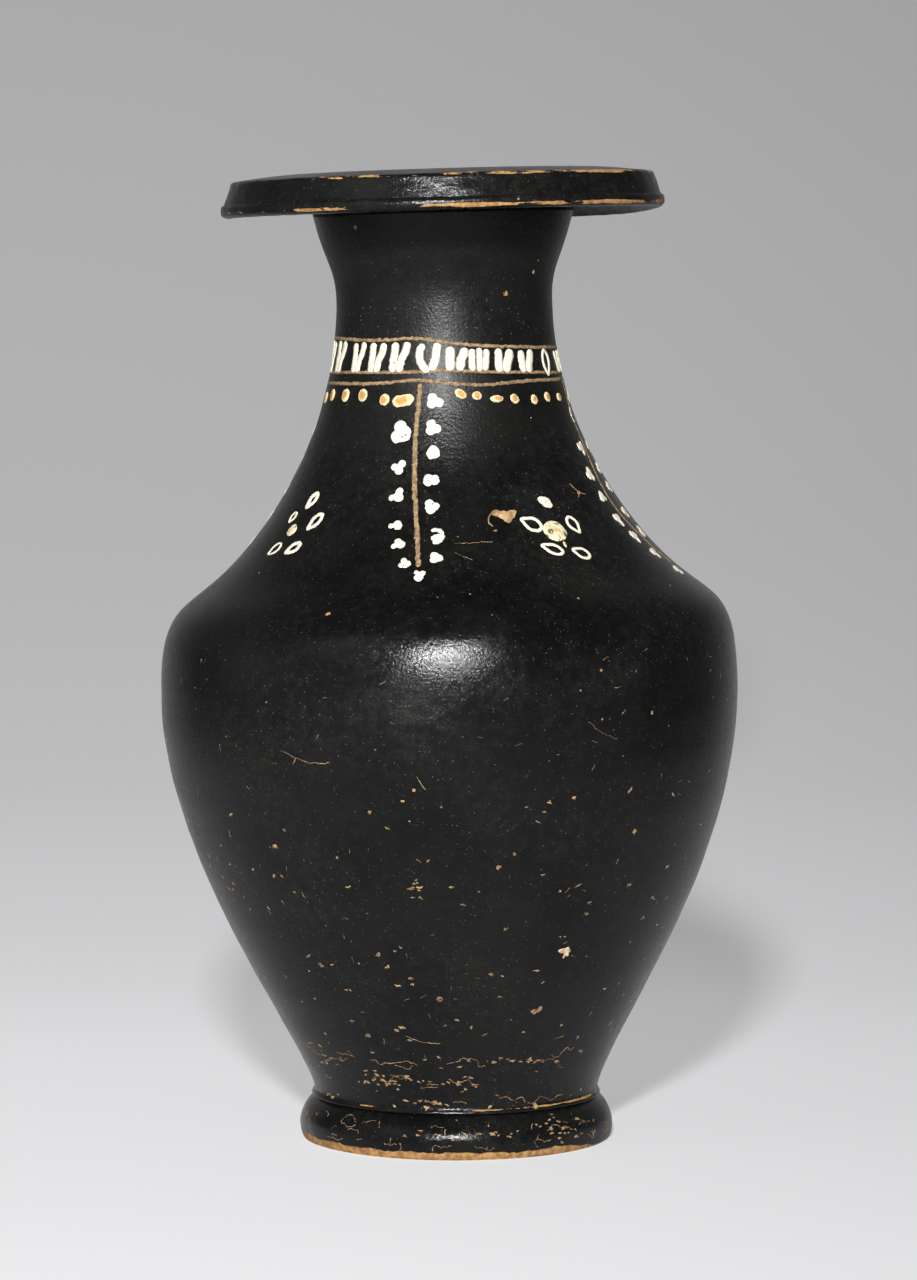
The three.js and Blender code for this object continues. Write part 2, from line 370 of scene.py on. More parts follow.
def foot():
    """The turned ring that the jug stands on."""
    bore = SPIGOT_RADIUS + 0.3
    stand_inner = STAND_RADIUS - STAND_WIDTH
    profile = [(stand_inner, 0.0), (stand_inner + 4.0, 0.0)]
    profile += [tuple(p) for p in FOOT_SIDE]
    profile += [(bore, FOOT_HEIGHT), (bore, 9.0), (bore, 5.0)]
    profile += [(stand_inner, 0.0)]
    piece = turned("jug_foot", profile)
    places = places_of(piece.data)
    for point in places:
        x, y, z = point
        r = math.hypot(x, y)
        if r > SPIGOT_RADIUS + 4.0 and 0.05 < z < FOOT_HEIGHT:
            point[0] *= 1 + dent(x, y, z) / r
            point[1] *= 1 + dent(x, y, z) / r
    place(piece.data, places)
    settle(piece)
    chosen(piece)
    bpy.ops.object.shade_smooth_by_angle(angle=math.radians(40))
    return piece


def mouth():
    """The flat overhanging rim, with a hollow under it and a bead along its lip."""
    lip_z = THROAT_Z - 0.8
    bead_height = 4.0
    lip_inner = MOUTH_RADIUS - 3.2
    band_radius = MOUTH_RADIUS - 1.1 - 1.6
    edge_z = RIM_Z - 1.8
    bore = THROAT_RADIUS - WALL * steepness(THROAT_Z)
    hollow = [
        (THROAT_RADIUS, THROAT_Z),
        (between(THROAT_RADIUS, lip_inner, 0.2), THROAT_Z + 4.2),
        (between(THROAT_RADIUS, lip_inner, 0.85), THROAT_Z + 4.2),
        (lip_inner, lip_z),
    ]
    lip = [
        (lip_inner, lip_z),
        (MOUTH_RADIUS - 0.6, lip_z),
        (MOUTH_RADIUS, lip_z + 0.6),
        (MOUTH_RADIUS, lip_z + 0.5 * bead_height),
    ]
    bead = [
        (MOUTH_RADIUS, lip_z + 0.5 * bead_height),
        (MOUTH_RADIUS, lip_z + 0.8 * bead_height),
        (MOUTH_RADIUS - 0.5, lip_z + 0.95 * bead_height),
        (MOUTH_RADIUS - 1.1, lip_z + bead_height),
    ]
    band = [
        (MOUTH_RADIUS - 1.1, lip_z + bead_height),
        (MOUTH_RADIUS - 1.3, lip_z + bead_height + 0.5),
        (band_radius + 0.4, edge_z - 3.0),
        (band_radius, edge_z - 1.5),
    ]
    corner = [
        (band_radius, edge_z - 1.5),
        (band_radius - 0.2, edge_z - 0.6),
        (band_radius - 0.7, edge_z),
        (band_radius - 1.7, edge_z + 0.1),
    ]
    top = [
        (band_radius - 1.7, edge_z + 0.1),
        (band_radius - 8.0, edge_z + 0.8),
        (bore + 16.0, RIM_Z),
        (bore + 9.5, RIM_Z),
    ]
    rounding = [
        (bore + 9.5, RIM_Z),
        (bore + 5.2, RIM_Z),
        (bore + 1.9, between(THROAT_Z, RIM_Z, 0.6)),
        (bore, THROAT_Z),
    ]
    profile = [tuple(p) for p in bezier(hollow, 14)]
    for part, count in ((lip, 8), (bead, 8), (band, 6), (corner, 8), (top, 16), (rounding, 14)):
        profile += [tuple(p) for p in bezier(part, count)[1:]]
    profile += [(THROAT_RADIUS, THROAT_Z)]
    piece = turned("jug_mouth", profile)
    places = places_of(piece.data)
    for point in places:
        x, y, z = point
        r = math.hypot(x, y)
        over = float(smoothstep(r, THROAT_RADIUS, MOUTH_RADIUS))
        point[2] -= RIM_TWIST * over * x * max(0.0, y) / MOUTH_RADIUS**2
        wave = noise.noise(Vector((x * 0.035, y * 0.035, z * 0.15))) * 0.5
        nick = noise.noise(Vector((x * 0.25, y * 0.25, z * 0.6))) * 0.16
        point[0] *= 1 + over * (wave + nick) / r
        point[1] *= 1 + over * (wave + nick) / r
        point[2] += over * nick
    place(piece.data, places)
    settle(piece)
    chosen(piece)
    bpy.ops.object.shade_smooth_by_angle(angle=math.radians(40))
    return piece


def strap_line(count):
    """The handle's middle line as [distance from the axis, height] places, neck to shoulder."""
    upper_z = NECK_Z + 8.0
    lower_z = SHOULDER_Z + 14.5
    grip_z = SHOULDER_Z + 69.5
    crown_z = upper_z + 11.0
    reach = 67.0
    start = radius_at(upper_z) - WALL / 2
    end = radius_at(lower_z) - WALL
    over = [(start, upper_z), (between(start, reach, 0.4), crown_z), (reach, between(grip_z, crown_z, 0.9))]
    under = [(reach, grip_z), (reach, between(grip_z, lower_z, 0.45))]
    under += [(between(reach, end, 0.35), between(grip_z, lower_z, 0.8)), (end, lower_z)]
    fine = np.concatenate([bezier(over + [(reach, grip_z)], 60), bezier(under, 80)[1:]])
    run = np.concatenate([[0.0], np.cumsum(np.hypot(*np.diff(fine, axis=0).T))])
    even = np.linspace(0.0, run[-1], count + 1)
    return np.column_stack([np.interp(even, run, fine[:, 0]), np.interp(even, run, fine[:, 1])])


def handle():
    """A ribbed strap at the back: a sheet rolled into a flat oval and drawn along its middle line."""
    sides, steps = 64, 90
    deselect()
    bpy.ops.mesh.primitive_grid_add(x_subdivisions=sides, y_subdivisions=steps, size=1.0)
    piece = named("jug_handle")
    line = strap_line(steps)
    tangents = np.gradient(line, axis=0)
    tangents /= np.hypot(*tangents.T)[:, None]
    places = []
    for i, (centre, tangent) in enumerate(zip(line, tangents)):
        share = i / steps
        upper_spread = max(1 - share / 0.16, 0.0) ** 2
        lower_spread = max(1 - (1 - share) / 0.2, 0.0) ** 2
        spread = max(upper_spread, lower_spread)
        width = between(25.0, 34.0, spread)
        thick = between(7.5, 11.0, spread)
        for side in range(sides + 1):
            angle = 2 * math.pi * side / sides
            across = math.copysign(abs(math.cos(angle)) ** 0.7, math.cos(angle)) * width / 2
            out = math.copysign(abs(math.sin(angle)) ** 0.55, math.sin(angle)) * thick / 2
            rib = math.cos(6 * math.pi * across / width) * 0.45 * (1 - spread)
            if out > 0:
                out += rib * math.sin(angle)
            wobble = noise.noise(Vector((across * 0.1, centre[0] * 0.05, centre[1] * 0.05))) * 0.3
            out += wobble
            y = centre[0] - tangent[1] * out
            z = centre[1] + tangent[0] * out
            places.append((across, y, z))
    place(piece.data, places)
    chosen(piece)
    bpy.ops.object.mode_set(mode="EDIT")
    bpy.ops.mesh.select_all(action="SELECT")
    bpy.ops.mesh.remove_doubles(threshold=0.01)
    bpy.ops.mesh.select_all(action="DESELECT")
    bpy.ops.mesh.select_non_manifold()
    bpy.ops.mesh.fill_holes(sides=0)
    bpy.ops.mesh.select_all(action="SELECT")
    bpy.ops.mesh.normals_make_consistent(inside=False)
    bpy.ops.object.mode_set(mode="OBJECT")
    settle(piece)
    piece.data.shade_smooth()
    return piece


# Ornament. Each stroke, dab or chip lies on the jug at an angle and a height.


BLANKS = {}


def blank(name, sides, count, ball=False):
    """A sheet or ball with that many faces each way, modelled once and then copied."""
    key = (sides, count, ball)
    if key not in BLANKS:
        deselect()
        if ball:
            bpy.ops.mesh.primitive_uv_sphere_add(segments=sides, ring_count=count, radius=1.0)
        else:
            bpy.ops.mesh.primitive_grid_add(x_subdivisions=sides, y_subdivisions=count, size=1.0)
        BLANKS[key] = named("blank")
        BLANKS[key].hide_render = True
    piece = BLANKS[key].copy()
    piece.data = BLANKS[key].data.copy()
    piece.name = name
    piece.hide_render = False
    bpy.context.collection.objects.link(piece)
    return piece


def on_wall(angle, height, lift):
    """The place on the thrown jug at that angle and height, lifted off it, in mm."""
    slope = slope_at(height)
    steep = math.hypot(1.0, slope)
    r = radius_at(height)
    turn = math.radians(angle)
    east, north = math.sin(turn), -math.cos(turn)
    r += dent(r * east, r * north, height) + lift / steep
    return r * east, r * north, height - lift * slope / steep


def moved(angle, height, across, up):
    """The angle and height a few millimetres away along the jug."""
    turn = math.degrees(across / radius_at(height))
    return angle + turn, height + up / steepness(height)


def in_photo(x, y, z):
    """Where the photograph shows a place, in pixels from its upper left corner."""
    dip = math.radians(CAMERA_DIP)
    ahead, above = y - CAMERA[1], z - CAMERA[2]
    depth = ahead * math.cos(dip) - above * math.sin(dip)
    rise = ahead * math.sin(dip) + above * math.cos(dip)
    zoom = LENS / SENSOR * PHOTO_HIGH / depth
    return PHOTO_WIDE / 2 + zoom * (x - CAMERA[0]), PHOTO_HIGH / 2 - zoom * rise


def seen(right, down):
    """The angle and height on the jug of what the photograph shows at that pixel."""
    angle, height, pixel = 0.0, BELLY_Z, 0.3
    for _ in range(40):
        x, y = in_photo(*settled(*on_wall(angle, height, 0.0)))
        height = min(max(height + (y - down) * pixel, 0.5), THROAT_Z)
        reach = radius_at(height) * max(math.cos(math.radians(angle)), 0.25)
        angle = min(max(angle + math.degrees((right - x) * pixel / reach), -90.0), 90.0)
    return angle, height


def apart(a, b):
    """How far place b lies to the right of and above place a along the jug, in mm."""
    height = (a[1] + b[1]) / 2
    return math.radians(b[0] - a[0]) * radius_at(height), (b[1] - a[1]) * steepness(height)


def smooth_path(points, count, loop=False):
    """A smooth run of places through the points given. A loop ends where it starts."""
    pts = [np.array(p, dtype=float) for p in points]
    wrap = pts[-1] - pts[0]
    before = pts[-2] - wrap if loop else 2 * pts[0] - pts[1]
    after = pts[1] + wrap if loop else 2 * pts[-1] - pts[-2]
    pts = [before, *pts, after]
    run = []
    for k in range(count + 1):
        t = k / count * (len(pts) - 3)
        i = min(int(t), len(pts) - 4)
        f = t - i
        a, b, c, d = pts[i : i + 4]
        bend = (2 * a - 5 * b + 4 * c - d) * f**2 + (3 * b - a - 3 * c + d) * f**3
        run.append(0.5 * (2 * b + (c - a) * f + bend))
    return run


def stroke(points, width, thick=0.22, loop=False, count=20, rough=0.12, wander=0.0, sides=8):
    """A brush or graver stroke through places on the jug: a flat tube with a rounded top."""
    half = sides // 2
    piece = blank("stroke", sides, count)
    section = [(2 * j / half - 1, True) for j in range(half + 1)]
    section += [(1 - 2 * j / half, False) for j in range(1, half + 1)]
    run = smooth_path(points, count, loop)
    wrap = run[-1] - run[0]
    first = run[-2] - wrap if loop else run[0]
    last = run[1] + wrap if loop else run[-1]
    beyond = [first, *run, last]
    lengths = [0.0]
    for a, b in zip(run, run[1:]):
        lengths.append(lengths[-1] + math.hypot(*apart(a, b)))
    total = lengths[-1]
    seed = random.uniform(0, 500)
    places, shares = [], []
    for k, (angle, height) in enumerate(run):
        along, rise = apart(beyond[k], beyond[k + 2])
        size = math.hypot(along, rise) or 1.0
        side = (-rise / size, along / size)
        taper = 1.0
        if not loop:
            edge = min(lengths[k], total - lengths[k]) / (width / 2)
            taper = math.sqrt(max(0.0, 1 - (1 - min(edge, 1.0)) ** 2))
        spin = 2 * math.pi * lengths[k] / total
        u, v = math.cos(spin) * total / 5, math.sin(spin) * total / 5
        shift = noise.noise(Vector((seed + 50.0, u, v))) * wander
        for share, top in section:
            jitter = noise.noise(Vector((seed + share, u, v))) * rough
            off = share * width / 2 * taper * (1 + jitter) + shift
            a, h = moved(angle, height, side[0] * off, side[1] * off)
            lift = thick * math.sqrt(1 - abs(share) ** 3) * max(taper, 0.2) + 0.04
            if abs(share) == 1 or taper == 0.0:
                lift = -0.02
            elif not top:
                lift = -0.2
            places.append(on_wall(a, h, lift))
            shares.append(abs(share))
    place(piece.data, places)
    keep_rim(piece.data, shares)
    return piece


def lobed(*lobes):
    """An outline round lobes, each [right, up, radius] in mm: how far it reaches in each direction."""

    def reach(turn):
        far = 0.3
        for right, up, radius in lobes:
            along = right * math.cos(turn) + up * math.sin(turn)
            inside = radius**2 - right**2 - up**2 + along**2
            if inside > 0.0:
                far = max(far, along + math.sqrt(inside))
        return far

    return reach


def oval(wide, tall, lean=0.0):
    """An oval outline, its width turned by lean degrees."""

    def reach(turn):
        t = turn - math.radians(lean)
        return 0.5 / math.hypot(math.cos(t) / wide, math.sin(t) / tall)

    return reach


def heart(size, point):
    """Two lobes side by side and a smaller one at the heart's point, which lies at that turn in degrees."""
    lobes = []
    for turn, out, radius in ((point - 130, 0.3, 0.26), (point + 130, 0.26, 0.23), (point, 0.27, 0.17)):
        turn = math.radians(turn + random.uniform(-15, 15))
        out *= size * random.uniform(0.85, 1.15)
        lobes.append((out * math.cos(turn), out * math.sin(turn), radius * size))
    return lobed(*lobes, (0.0, 0.0, 0.2 * size))


def dab(angle, height, reach, thick=0.3, ragged=0.1, fine=True):
    """A dab of slip pressed on the jug, or a chip in its gloss, with reach as its outline."""
    segments, rings = (40, 10) if fine else (12, 4)
    piece = blank("dab", segments, rings, ball=True)
    seed = random.uniform(0, 500)
    places, shares = [], []
    for x, y, z in places_of(piece.data):
        turn = math.atan2(y, x)
        out = min(1.0, math.hypot(x, y))
        shares.append(out)
        far = out * reach(turn) * (1 + ragged * noise.noise(Vector((seed, 2 * math.cos(turn), 2 * math.sin(turn)))))
        a, h = moved(angle, height, far * math.cos(turn), far * math.sin(turn))
        lift = thick * (1 - out**4) + 0.04 if z > 0.05 else -0.2
        places.append(on_wall(a, h, lift if out < 0.999 else -0.02))
    place(piece.data, places)
    keep_rim(piece.data, shares)
    return piece


def joined(name, parts):
    """Strokes and dabs brought together as one piece, their ends closed, and settled."""
    chosen(*parts)
    bpy.ops.object.join()
    piece = named(name)
    bpy.ops.object.mode_set(mode="EDIT")
    bpy.ops.mesh.select_mode(type="VERT")
    bpy.ops.mesh.select_all(action="SELECT")
    bpy.ops.mesh.remove_doubles(threshold=0.002)
    bpy.ops.mesh.normals_make_consistent(inside=False)
    bpy.ops.object.mode_set(mode="OBJECT")
    settle(piece)
    piece.data.shade_smooth()
    return piece


def hump(angle, middle, spread):
    """1 at the middle angle, dying away over that spread."""
    return math.exp(-(((math.remainder(angle - middle, 360.0)) / spread) ** 2))


def upper_line(angle):
    """Height of the incised line above the tongues."""
    return 247.2 - 2.4 * math.sin(math.radians(angle)) + 1.3 * hump(angle, -14.0, 16.0)


def middle_line(angle):
    return 237.9 + 1.3 * math.cos(math.radians(angle + 50)) + 0.5 * hump(angle, 4.0, 12.0)


def lower_line(angle):
    wave = 0.9 * hump(angle, -15.0, 12.0) - 0.9 * hump(angle, 19.0, 14.0)
    return 235.4 + 0.4 * math.cos(math.radians(angle + 70)) + wave


PENDANT_LINES = [
    [(-11.6, 235.5), (-12.2, 230.0), (-12.8, 221.0), (-12.2, 211.8), (-11.1, 202.7), (-9.4, 193.9), (-7.6, 181.5)],
    [(80.5, 235.0), (79.0, 225.0), (75.7, 211.8), (72.3, 205.0), (71.2, 198.4), (72.4, 192.0), (81.0, 177.5)],
    [(-101.0, 235.5), (-102.5, 221.0), (-103.0, 210.0), (-101.5, 200.0), (-100.0, 190.0), (-98.5, 181.0)],
]


def incised_lines():
    parts = []
    for line, width in ((upper_line, 1.15), (middle_line, 1.1), (lower_line, 1.2)):
        ring = [(angle, line(angle)) for angle in range(-180, 181, 6)]
        parts.append(stroke(ring, width, thick=0.05, loop=True, count=480, rough=0.55, wander=0.25))
    for places in PENDANT_LINES:
        parts.append(stroke(places, 1.7, thick=0.05, count=120, rough=0.5, wander=0.3))
    return joined("incised_lines", parts)


def tongue_stroke(centre, width, points):
    """One brush stroke between the lines. Each point is [mm right of the centre, share of the way down]."""
    places = []
    for right, share in points:
        angle, _ = moved(centre, middle_line(centre), right, 0.0)
        places.append((angle, between(upper_line(angle) - 0.5, middle_line(angle) - 0.2, share)))
    return stroke(places, width, thick=0.3, count=30, rough=0.16, wander=0.15)


def tongue(centre, half, lean, width, foot):
    """Two fat strokes that run together at the bottom, which lies lean mm to the right of the top."""
    parts = []
    for way in (-1, 1):
        top, low = way * half, lean + way * foot
        late = random.uniform(0.0, 0.07)
        points = [(top, late), (between(top, low, 0.25), 0.33), (between(top, low, 0.8), 0.64), (low, 1.0)]
        parts.append(tongue_stroke(centre, width * random.uniform(0.92, 1.08), points))
    return parts


FRONT_TONGUES = [
    (-80.0, 2.0, -1.4, 2.5, 0.9),
    (-65.5, 2.1, -1.8, 2.6, 1.0),
    (-48.5, 2.0, -1.2, 2.5, 0.9),
    (-35.6, 2.1, -1.3, 2.9, 1.1),
    (-22.3, 2.1, -1.6, 2.9, 1.1),
    (6.6, 2.3, -1.0, 3.2, 1.5),
    (31.7, 2.15, -1.2, 3.2, 1.3),
    (45.4, 2.15, -0.8, 3.0, 1.2),
    (77.5, 1.9, 0.6, 1.7, 0.8),
]
HOOKED_TONGUE = [
    (2.9, [(-1.9, 0.1), (-3.1, 0.33), (-3.0, 0.64), (-1.5, 0.88), (0.2, 0.95)]),
    (3.1, [(2.4, 0.0), (2.1, 0.4), (1.5, 0.7), (0.4, 0.95)]),
]
BROAD_TONGUE = [
    (2.5, [(-2.3, 0.08), (-2.5, 0.6), (-2.4, 0.97)]),
    (2.3, [(0.1, 0.02), (0.0, 0.5), (-0.2, 0.97)]),
    (2.2, [(2.5, 0.06), (2.2, 0.5), (1.5, 0.94)]),
]
THIN_TONGUE = [(0.0, 0.0), (1.5, 0.22), (1.7, 0.55), (0.2, 1.0), (-0.9, 0.92), (-1.9, 0.5), (-1.3, 0.12), (0.0, 0.0)]


def tongues():
    parts = []
    for front in FRONT_TONGUES:
        parts += tongue(*front)
    parts += [tongue_stroke(-7.5, *each) for each in HOOKED_TONGUE]
    parts += [tongue_stroke(17.6, *each) for each in BROAD_TONGUE]
    ring = []
    for right, share in THIN_TONGUE:
        angle, _ = moved(61.5, middle_line(61.5), right, 0.0)
        ring.append((angle, between(upper_line(angle) - 1.0, middle_line(angle) - 0.4, share)))
    parts.append(stroke(ring, 1.25, thick=0.25, loop=True, count=48, rough=0.25))
    for k in range(13):
        half = random.uniform(1.7, 1.95)
        lean, foot = random.uniform(-1.6, 0.2), random.uniform(0.8, 1.0)
        parts += tongue(94.0 + 13.6 * k, half, lean, random.uniform(2.3, 2.7), foot)
    return joined("tongue_band", parts)


BEADS = [
    (-78.3, 231.4, 3.6, 3.8, 0),
    (-68.0, 232.3, 3.4, 4.0, 0),
    (-54.9, 232.3, 3.9, 4.2, 0),
    (-42.2, 232.3, 3.7, 4.1, 8),
    (-29.3, 230.9, 3.5, 3.7, -15),
    (7.1, 232.1, 4.0, 2.7, -35),
    (14.8, 231.4, 3.1, 2.7, 0),
    (24.4, 230.2, 4.4, 2.3, 0),
    (33.8, 230.0, 3.4, 2.9, -45),
    (45.5, 229.5, 2.9, 3.2, 0),
    (55.2, 230.0, 3.0, 3.3, 10),
    (66.5, 229.7, 3.3, 2.7, 0),
]


def beads():
    parts = [dab(angle, height, oval(wide, tall, lean), 0.35) for angle, height, wide, tall, lean in BEADS]
    for k in range(14):
        angle = 92.0 + 12.2 * k
        if abs(angle - 259.0) > 5.0:
            outline = oval(random.uniform(2.8, 4.2), random.uniform(2.6, 3.8), random.uniform(-40, 40))
            parts.append(dab(angle, 230.6 + random.uniform(-0.7, 0.7), outline, 0.35))
    parts.append(dab(-19.7, 230.5, lobed((-1.7, -0.2, 1.9), (1.5, 0.25, 1.9), (0.0, 0.0, 1.9)), 0.35))
    return joined("bead_row", parts)


FRONT_DABS = [
    (-19.5, 221.0, [(0.8, -0.5, 2.3), (-0.2, 2.1, 1.75), (-1.3, -1.5, 1.65)]),
    (-18.4, 210.5, [(-1.65, 0.3, 1.0), (1.1, 1.5, 1.1), (0.3, -1.1, 1.1), (0.0, 0.0, 1.1)]),
    (-17.5, 202.2, [(-1.75, -0.65, 0.9), (0.8, 1.75, 1.05), (0.9, -0.65, 1.2), (0.0, 0.0, 1.0)]),
    (-16.0, 193.6, [(-1.8, -0.15, 0.75), (0.45, 0.45, 1.2), (0.8, -0.15, 1.1)]),
    (-14.1, 188.2, [(-1.5, -0.65, 0.8), (-0.4, 1.35, 0.95), (0.8, 0.0, 1.15)]),
    (-11.3, 182.7, [(-1.25, -0.65, 0.8), (-0.65, 1.5, 0.8), (0.65, -0.1, 1.05), (0.25, -0.8, 0.8)]),
    (-7.2, 179.3, [(-1.1, 1.5, 0.65), (1.1, 0.95, 0.9), (-0.1, -1.0, 1.15)]),
    (-4.9, 230.0, [(-0.8, 1.25, 1.3), (1.65, -0.45, 1.2), (-1.0, -0.8, 1.25)]),
    (-5.7, 222.2, [(-0.45, 1.35, 1.25), (1.35, -0.4, 1.25), (-0.55, -1.0, 1.3)]),
    (-5.2, 214.8, [(0.0, 1.1, 1.2), (0.15, 0.0, 1.7), (-0.55, -1.2, 0.95)]),
    (-5.4, 206.7, [(-1.2, 0.6, 1.25), (-1.2, -0.65, 1.2), (1.3, -0.35, 1.2), (1.2, 0.5, 1.1)]),
    (-5.0, 199.0, [(-0.8, 1.25, 1.15), (1.2, 0.0, 1.15), (-0.15, -1.3, 1.2), (-0.8, -0.3, 1.1)]),
    (-3.1, 184.2, [(-0.55, 1.1, 1.1), (1.05, -0.15, 1.1), (-0.7, -0.95, 1.0)]),
]
RIGHT_DABS = [(71.2, 213.8), (66.6, 205.7), (66.1, 198.9), (66.7, 191.8), (69.5, 186.4), (73.9, 181.1)]
RIGHT_DABS += [(78.6, 175.5), (87.0, 228.4), (86.0, 213.5), (83.0, 207.0), (80.5, 201.3), (78.8, 193.6), (80.8, 187.2)]
BACK_DABS = [(-110.0, 228.0), (-95.0, 221.0), (-111.0, 219.5), (-94.5, 212.0), (-111.0, 210.5), (-94.0, 203.0)]
BACK_DABS += [(-109.5, 202.0), (-93.5, 195.0), (-107.5, 193.5), (-93.0, 187.5), (-105.5, 186.0), (-98.4, 178.5)]


def worn_dab(angle, height):
    """A round dab that has worn away on its left: what is left is a crescent and a thin patch."""
    arc = []
    for turn in (125, 75, 30, -20, -65, -110):
        out = 2.35 if turn > -90 else 2.0
        arc.append(moved(angle, height, out * math.cos(math.radians(turn)), out * math.sin(math.radians(turn))))
    patch = dab(*moved(angle, height, 0.75, -0.7), oval(3.4, 3.2, 20), 0.08, ragged=0.5)
    return [stroke(arc, 1.5, thick=0.12, count=30, rough=0.6, wander=0.3), patch]


def pendant_dabs():
    parts = []
    for angle, height, lobes in FRONT_DABS:
        fuller = [(right * 0.85, up * 0.85, radius * 1.22) for right, up, radius in lobes]
        parts.append(dab(angle, height, lobed(*fuller)))
    parts += worn_dab(-3.6, 190.4)
    for angle, height in RIGHT_DABS + BACK_DABS:
        parts.append(dab(angle, height, heart(random.uniform(4.6, 5.6), random.uniform(-90, -20))))
    ring = [moved(78.0, 224.0, 1.6 * math.cos(t), 2.4 * math.sin(t)) for t in np.linspace(0.4, 5.6, 8)]
    parts.append(stroke(ring, 0.45, thick=0.1, count=26, rough=0.9))
    return joined("pendant_dabs", parts)


def petal(angle, height, long, wide, turn, width=1.1):
    """A petal drawn as a ring, pointed at one end. turn is the way its other end lies."""
    ring = []
    for k in range(9):
        step = math.radians(45 * k)
        u = math.cos(step) * (long - width) / 2 * (1.15 if k == 4 else 1.0)
        v = math.sin(step) * (wide - width) / 2 * (0.75 if k in (3, 5) else 1.0)
        c, s = math.cos(math.radians(turn)), math.sin(math.radians(turn))
        ring.append(moved(angle, height, u * c - v * s, u * s + v * c))
    return stroke(ring, width, loop=True, count=40, rough=0.3, thick=0.2)


PETALS = [
    (26.9, 192.8, 7.4, 5.6, -32, 1.25),
    (41.8, 192.0, 6.6, 4.9, 105, 1.15),
    (30.5, 185.3, 7.6, 4.6, -28, 1.2),
    (39.2, 183.6, 6.6, 4.9, -30, 1.15),
    (-53.6, 201.0, 6.6, 4.6, 65, 1.75),
    (-46.7, 194.9, 7.0, 4.8, 58, 1.5),
    (-59.9, 195.8, 4.2, 3.2, 70, 0.8),
    (-58.7, 186.5, 5.8, 4.4, 45, 0.85),
    (-50.1, 187.0, 6.6, 4.8, 35, 1.6),
]
BACK_ROSETTES = [(128.0, 191.0), (-146.0, 191.0)]


def rosettes():
    parts = [petal(*p) for p in PETALS]
    parts.append(dab(34.5, 198.9, lobed((-0.9, 0.8, 1.4), (0.3, 0.0, 1.9), (1.1, -0.9, 1.3))))
    for angle, height in BACK_ROSETTES:
        for turn in range(70, 430, 72):
            u, v = 7.6 * math.cos(math.radians(turn)), 7.6 * math.sin(math.radians(turn))
            a, h = moved(angle, height, u, v)
            parts.append(petal(a, h, random.uniform(5.8, 7.0), random.uniform(4.4, 5.0), turn + 180))
    return joined("rosette_petals", parts)


def rosette_hearts():
    parts = [dab(33.8, 190.4, oval(8.0, 7.6)), dab(-56.0, 192.1, oval(4.4, 4.3))]
    parts.append(dab(35.0, 186.4, oval(1.0, 2.2), 0.2))
    parts += [dab(angle, height, oval(6.4, 6.2)) for angle, height in BACK_ROSETTES]
    return joined("rosette_hearts", parts)

# Wear: places where the gloss has come off and the clay shows.

# The chips that stand out at the front, as the pixel of the photograph where each lies, and its width and height.
CHIPS = [
    (643, 918, 2.0, 1.5), (463, 905, 2.5, 0.9), (428, 861, 1.6, 1.3), (439, 999, 1.5, 1.2),
    (401, 948, 1.2, 0.8), (352, 1021, 2.0, 1.4), (346, 990, 1.6, 1.0), (332, 965, 1.3, 0.9),
    (274, 876, 1.4, 2.0), (337, 858, 1.0, 1.6), (536, 1106, 1.8, 2.8), (377, 1075, 2.0, 1.6),
    (471, 1078, 2.2, 1.3), (250, 909, 1.2, 1.2), (682, 886, 1.2, 1.6), (652, 713, 1.0, 1.6),
]
# Rows where the gloss flakes away, as the pixels of their left and right end, the pixel of their height, how far
# they stray from it and how many flakes there are.
FLAKE_ROWS = [
    (461, 569, 1061, 1.4, 16), (354, 488, 1082, 2.2, 26), (406, 448, 1103, 1.6, 9), (408, 420, 890, 7.0, 9),
    (330, 480, 1078, 8.0, 14), (400, 520, 1133, 2.0, 14), (535, 606, 1130, 7.0, 30), (316, 340, 1062, 8.0, 8),
]


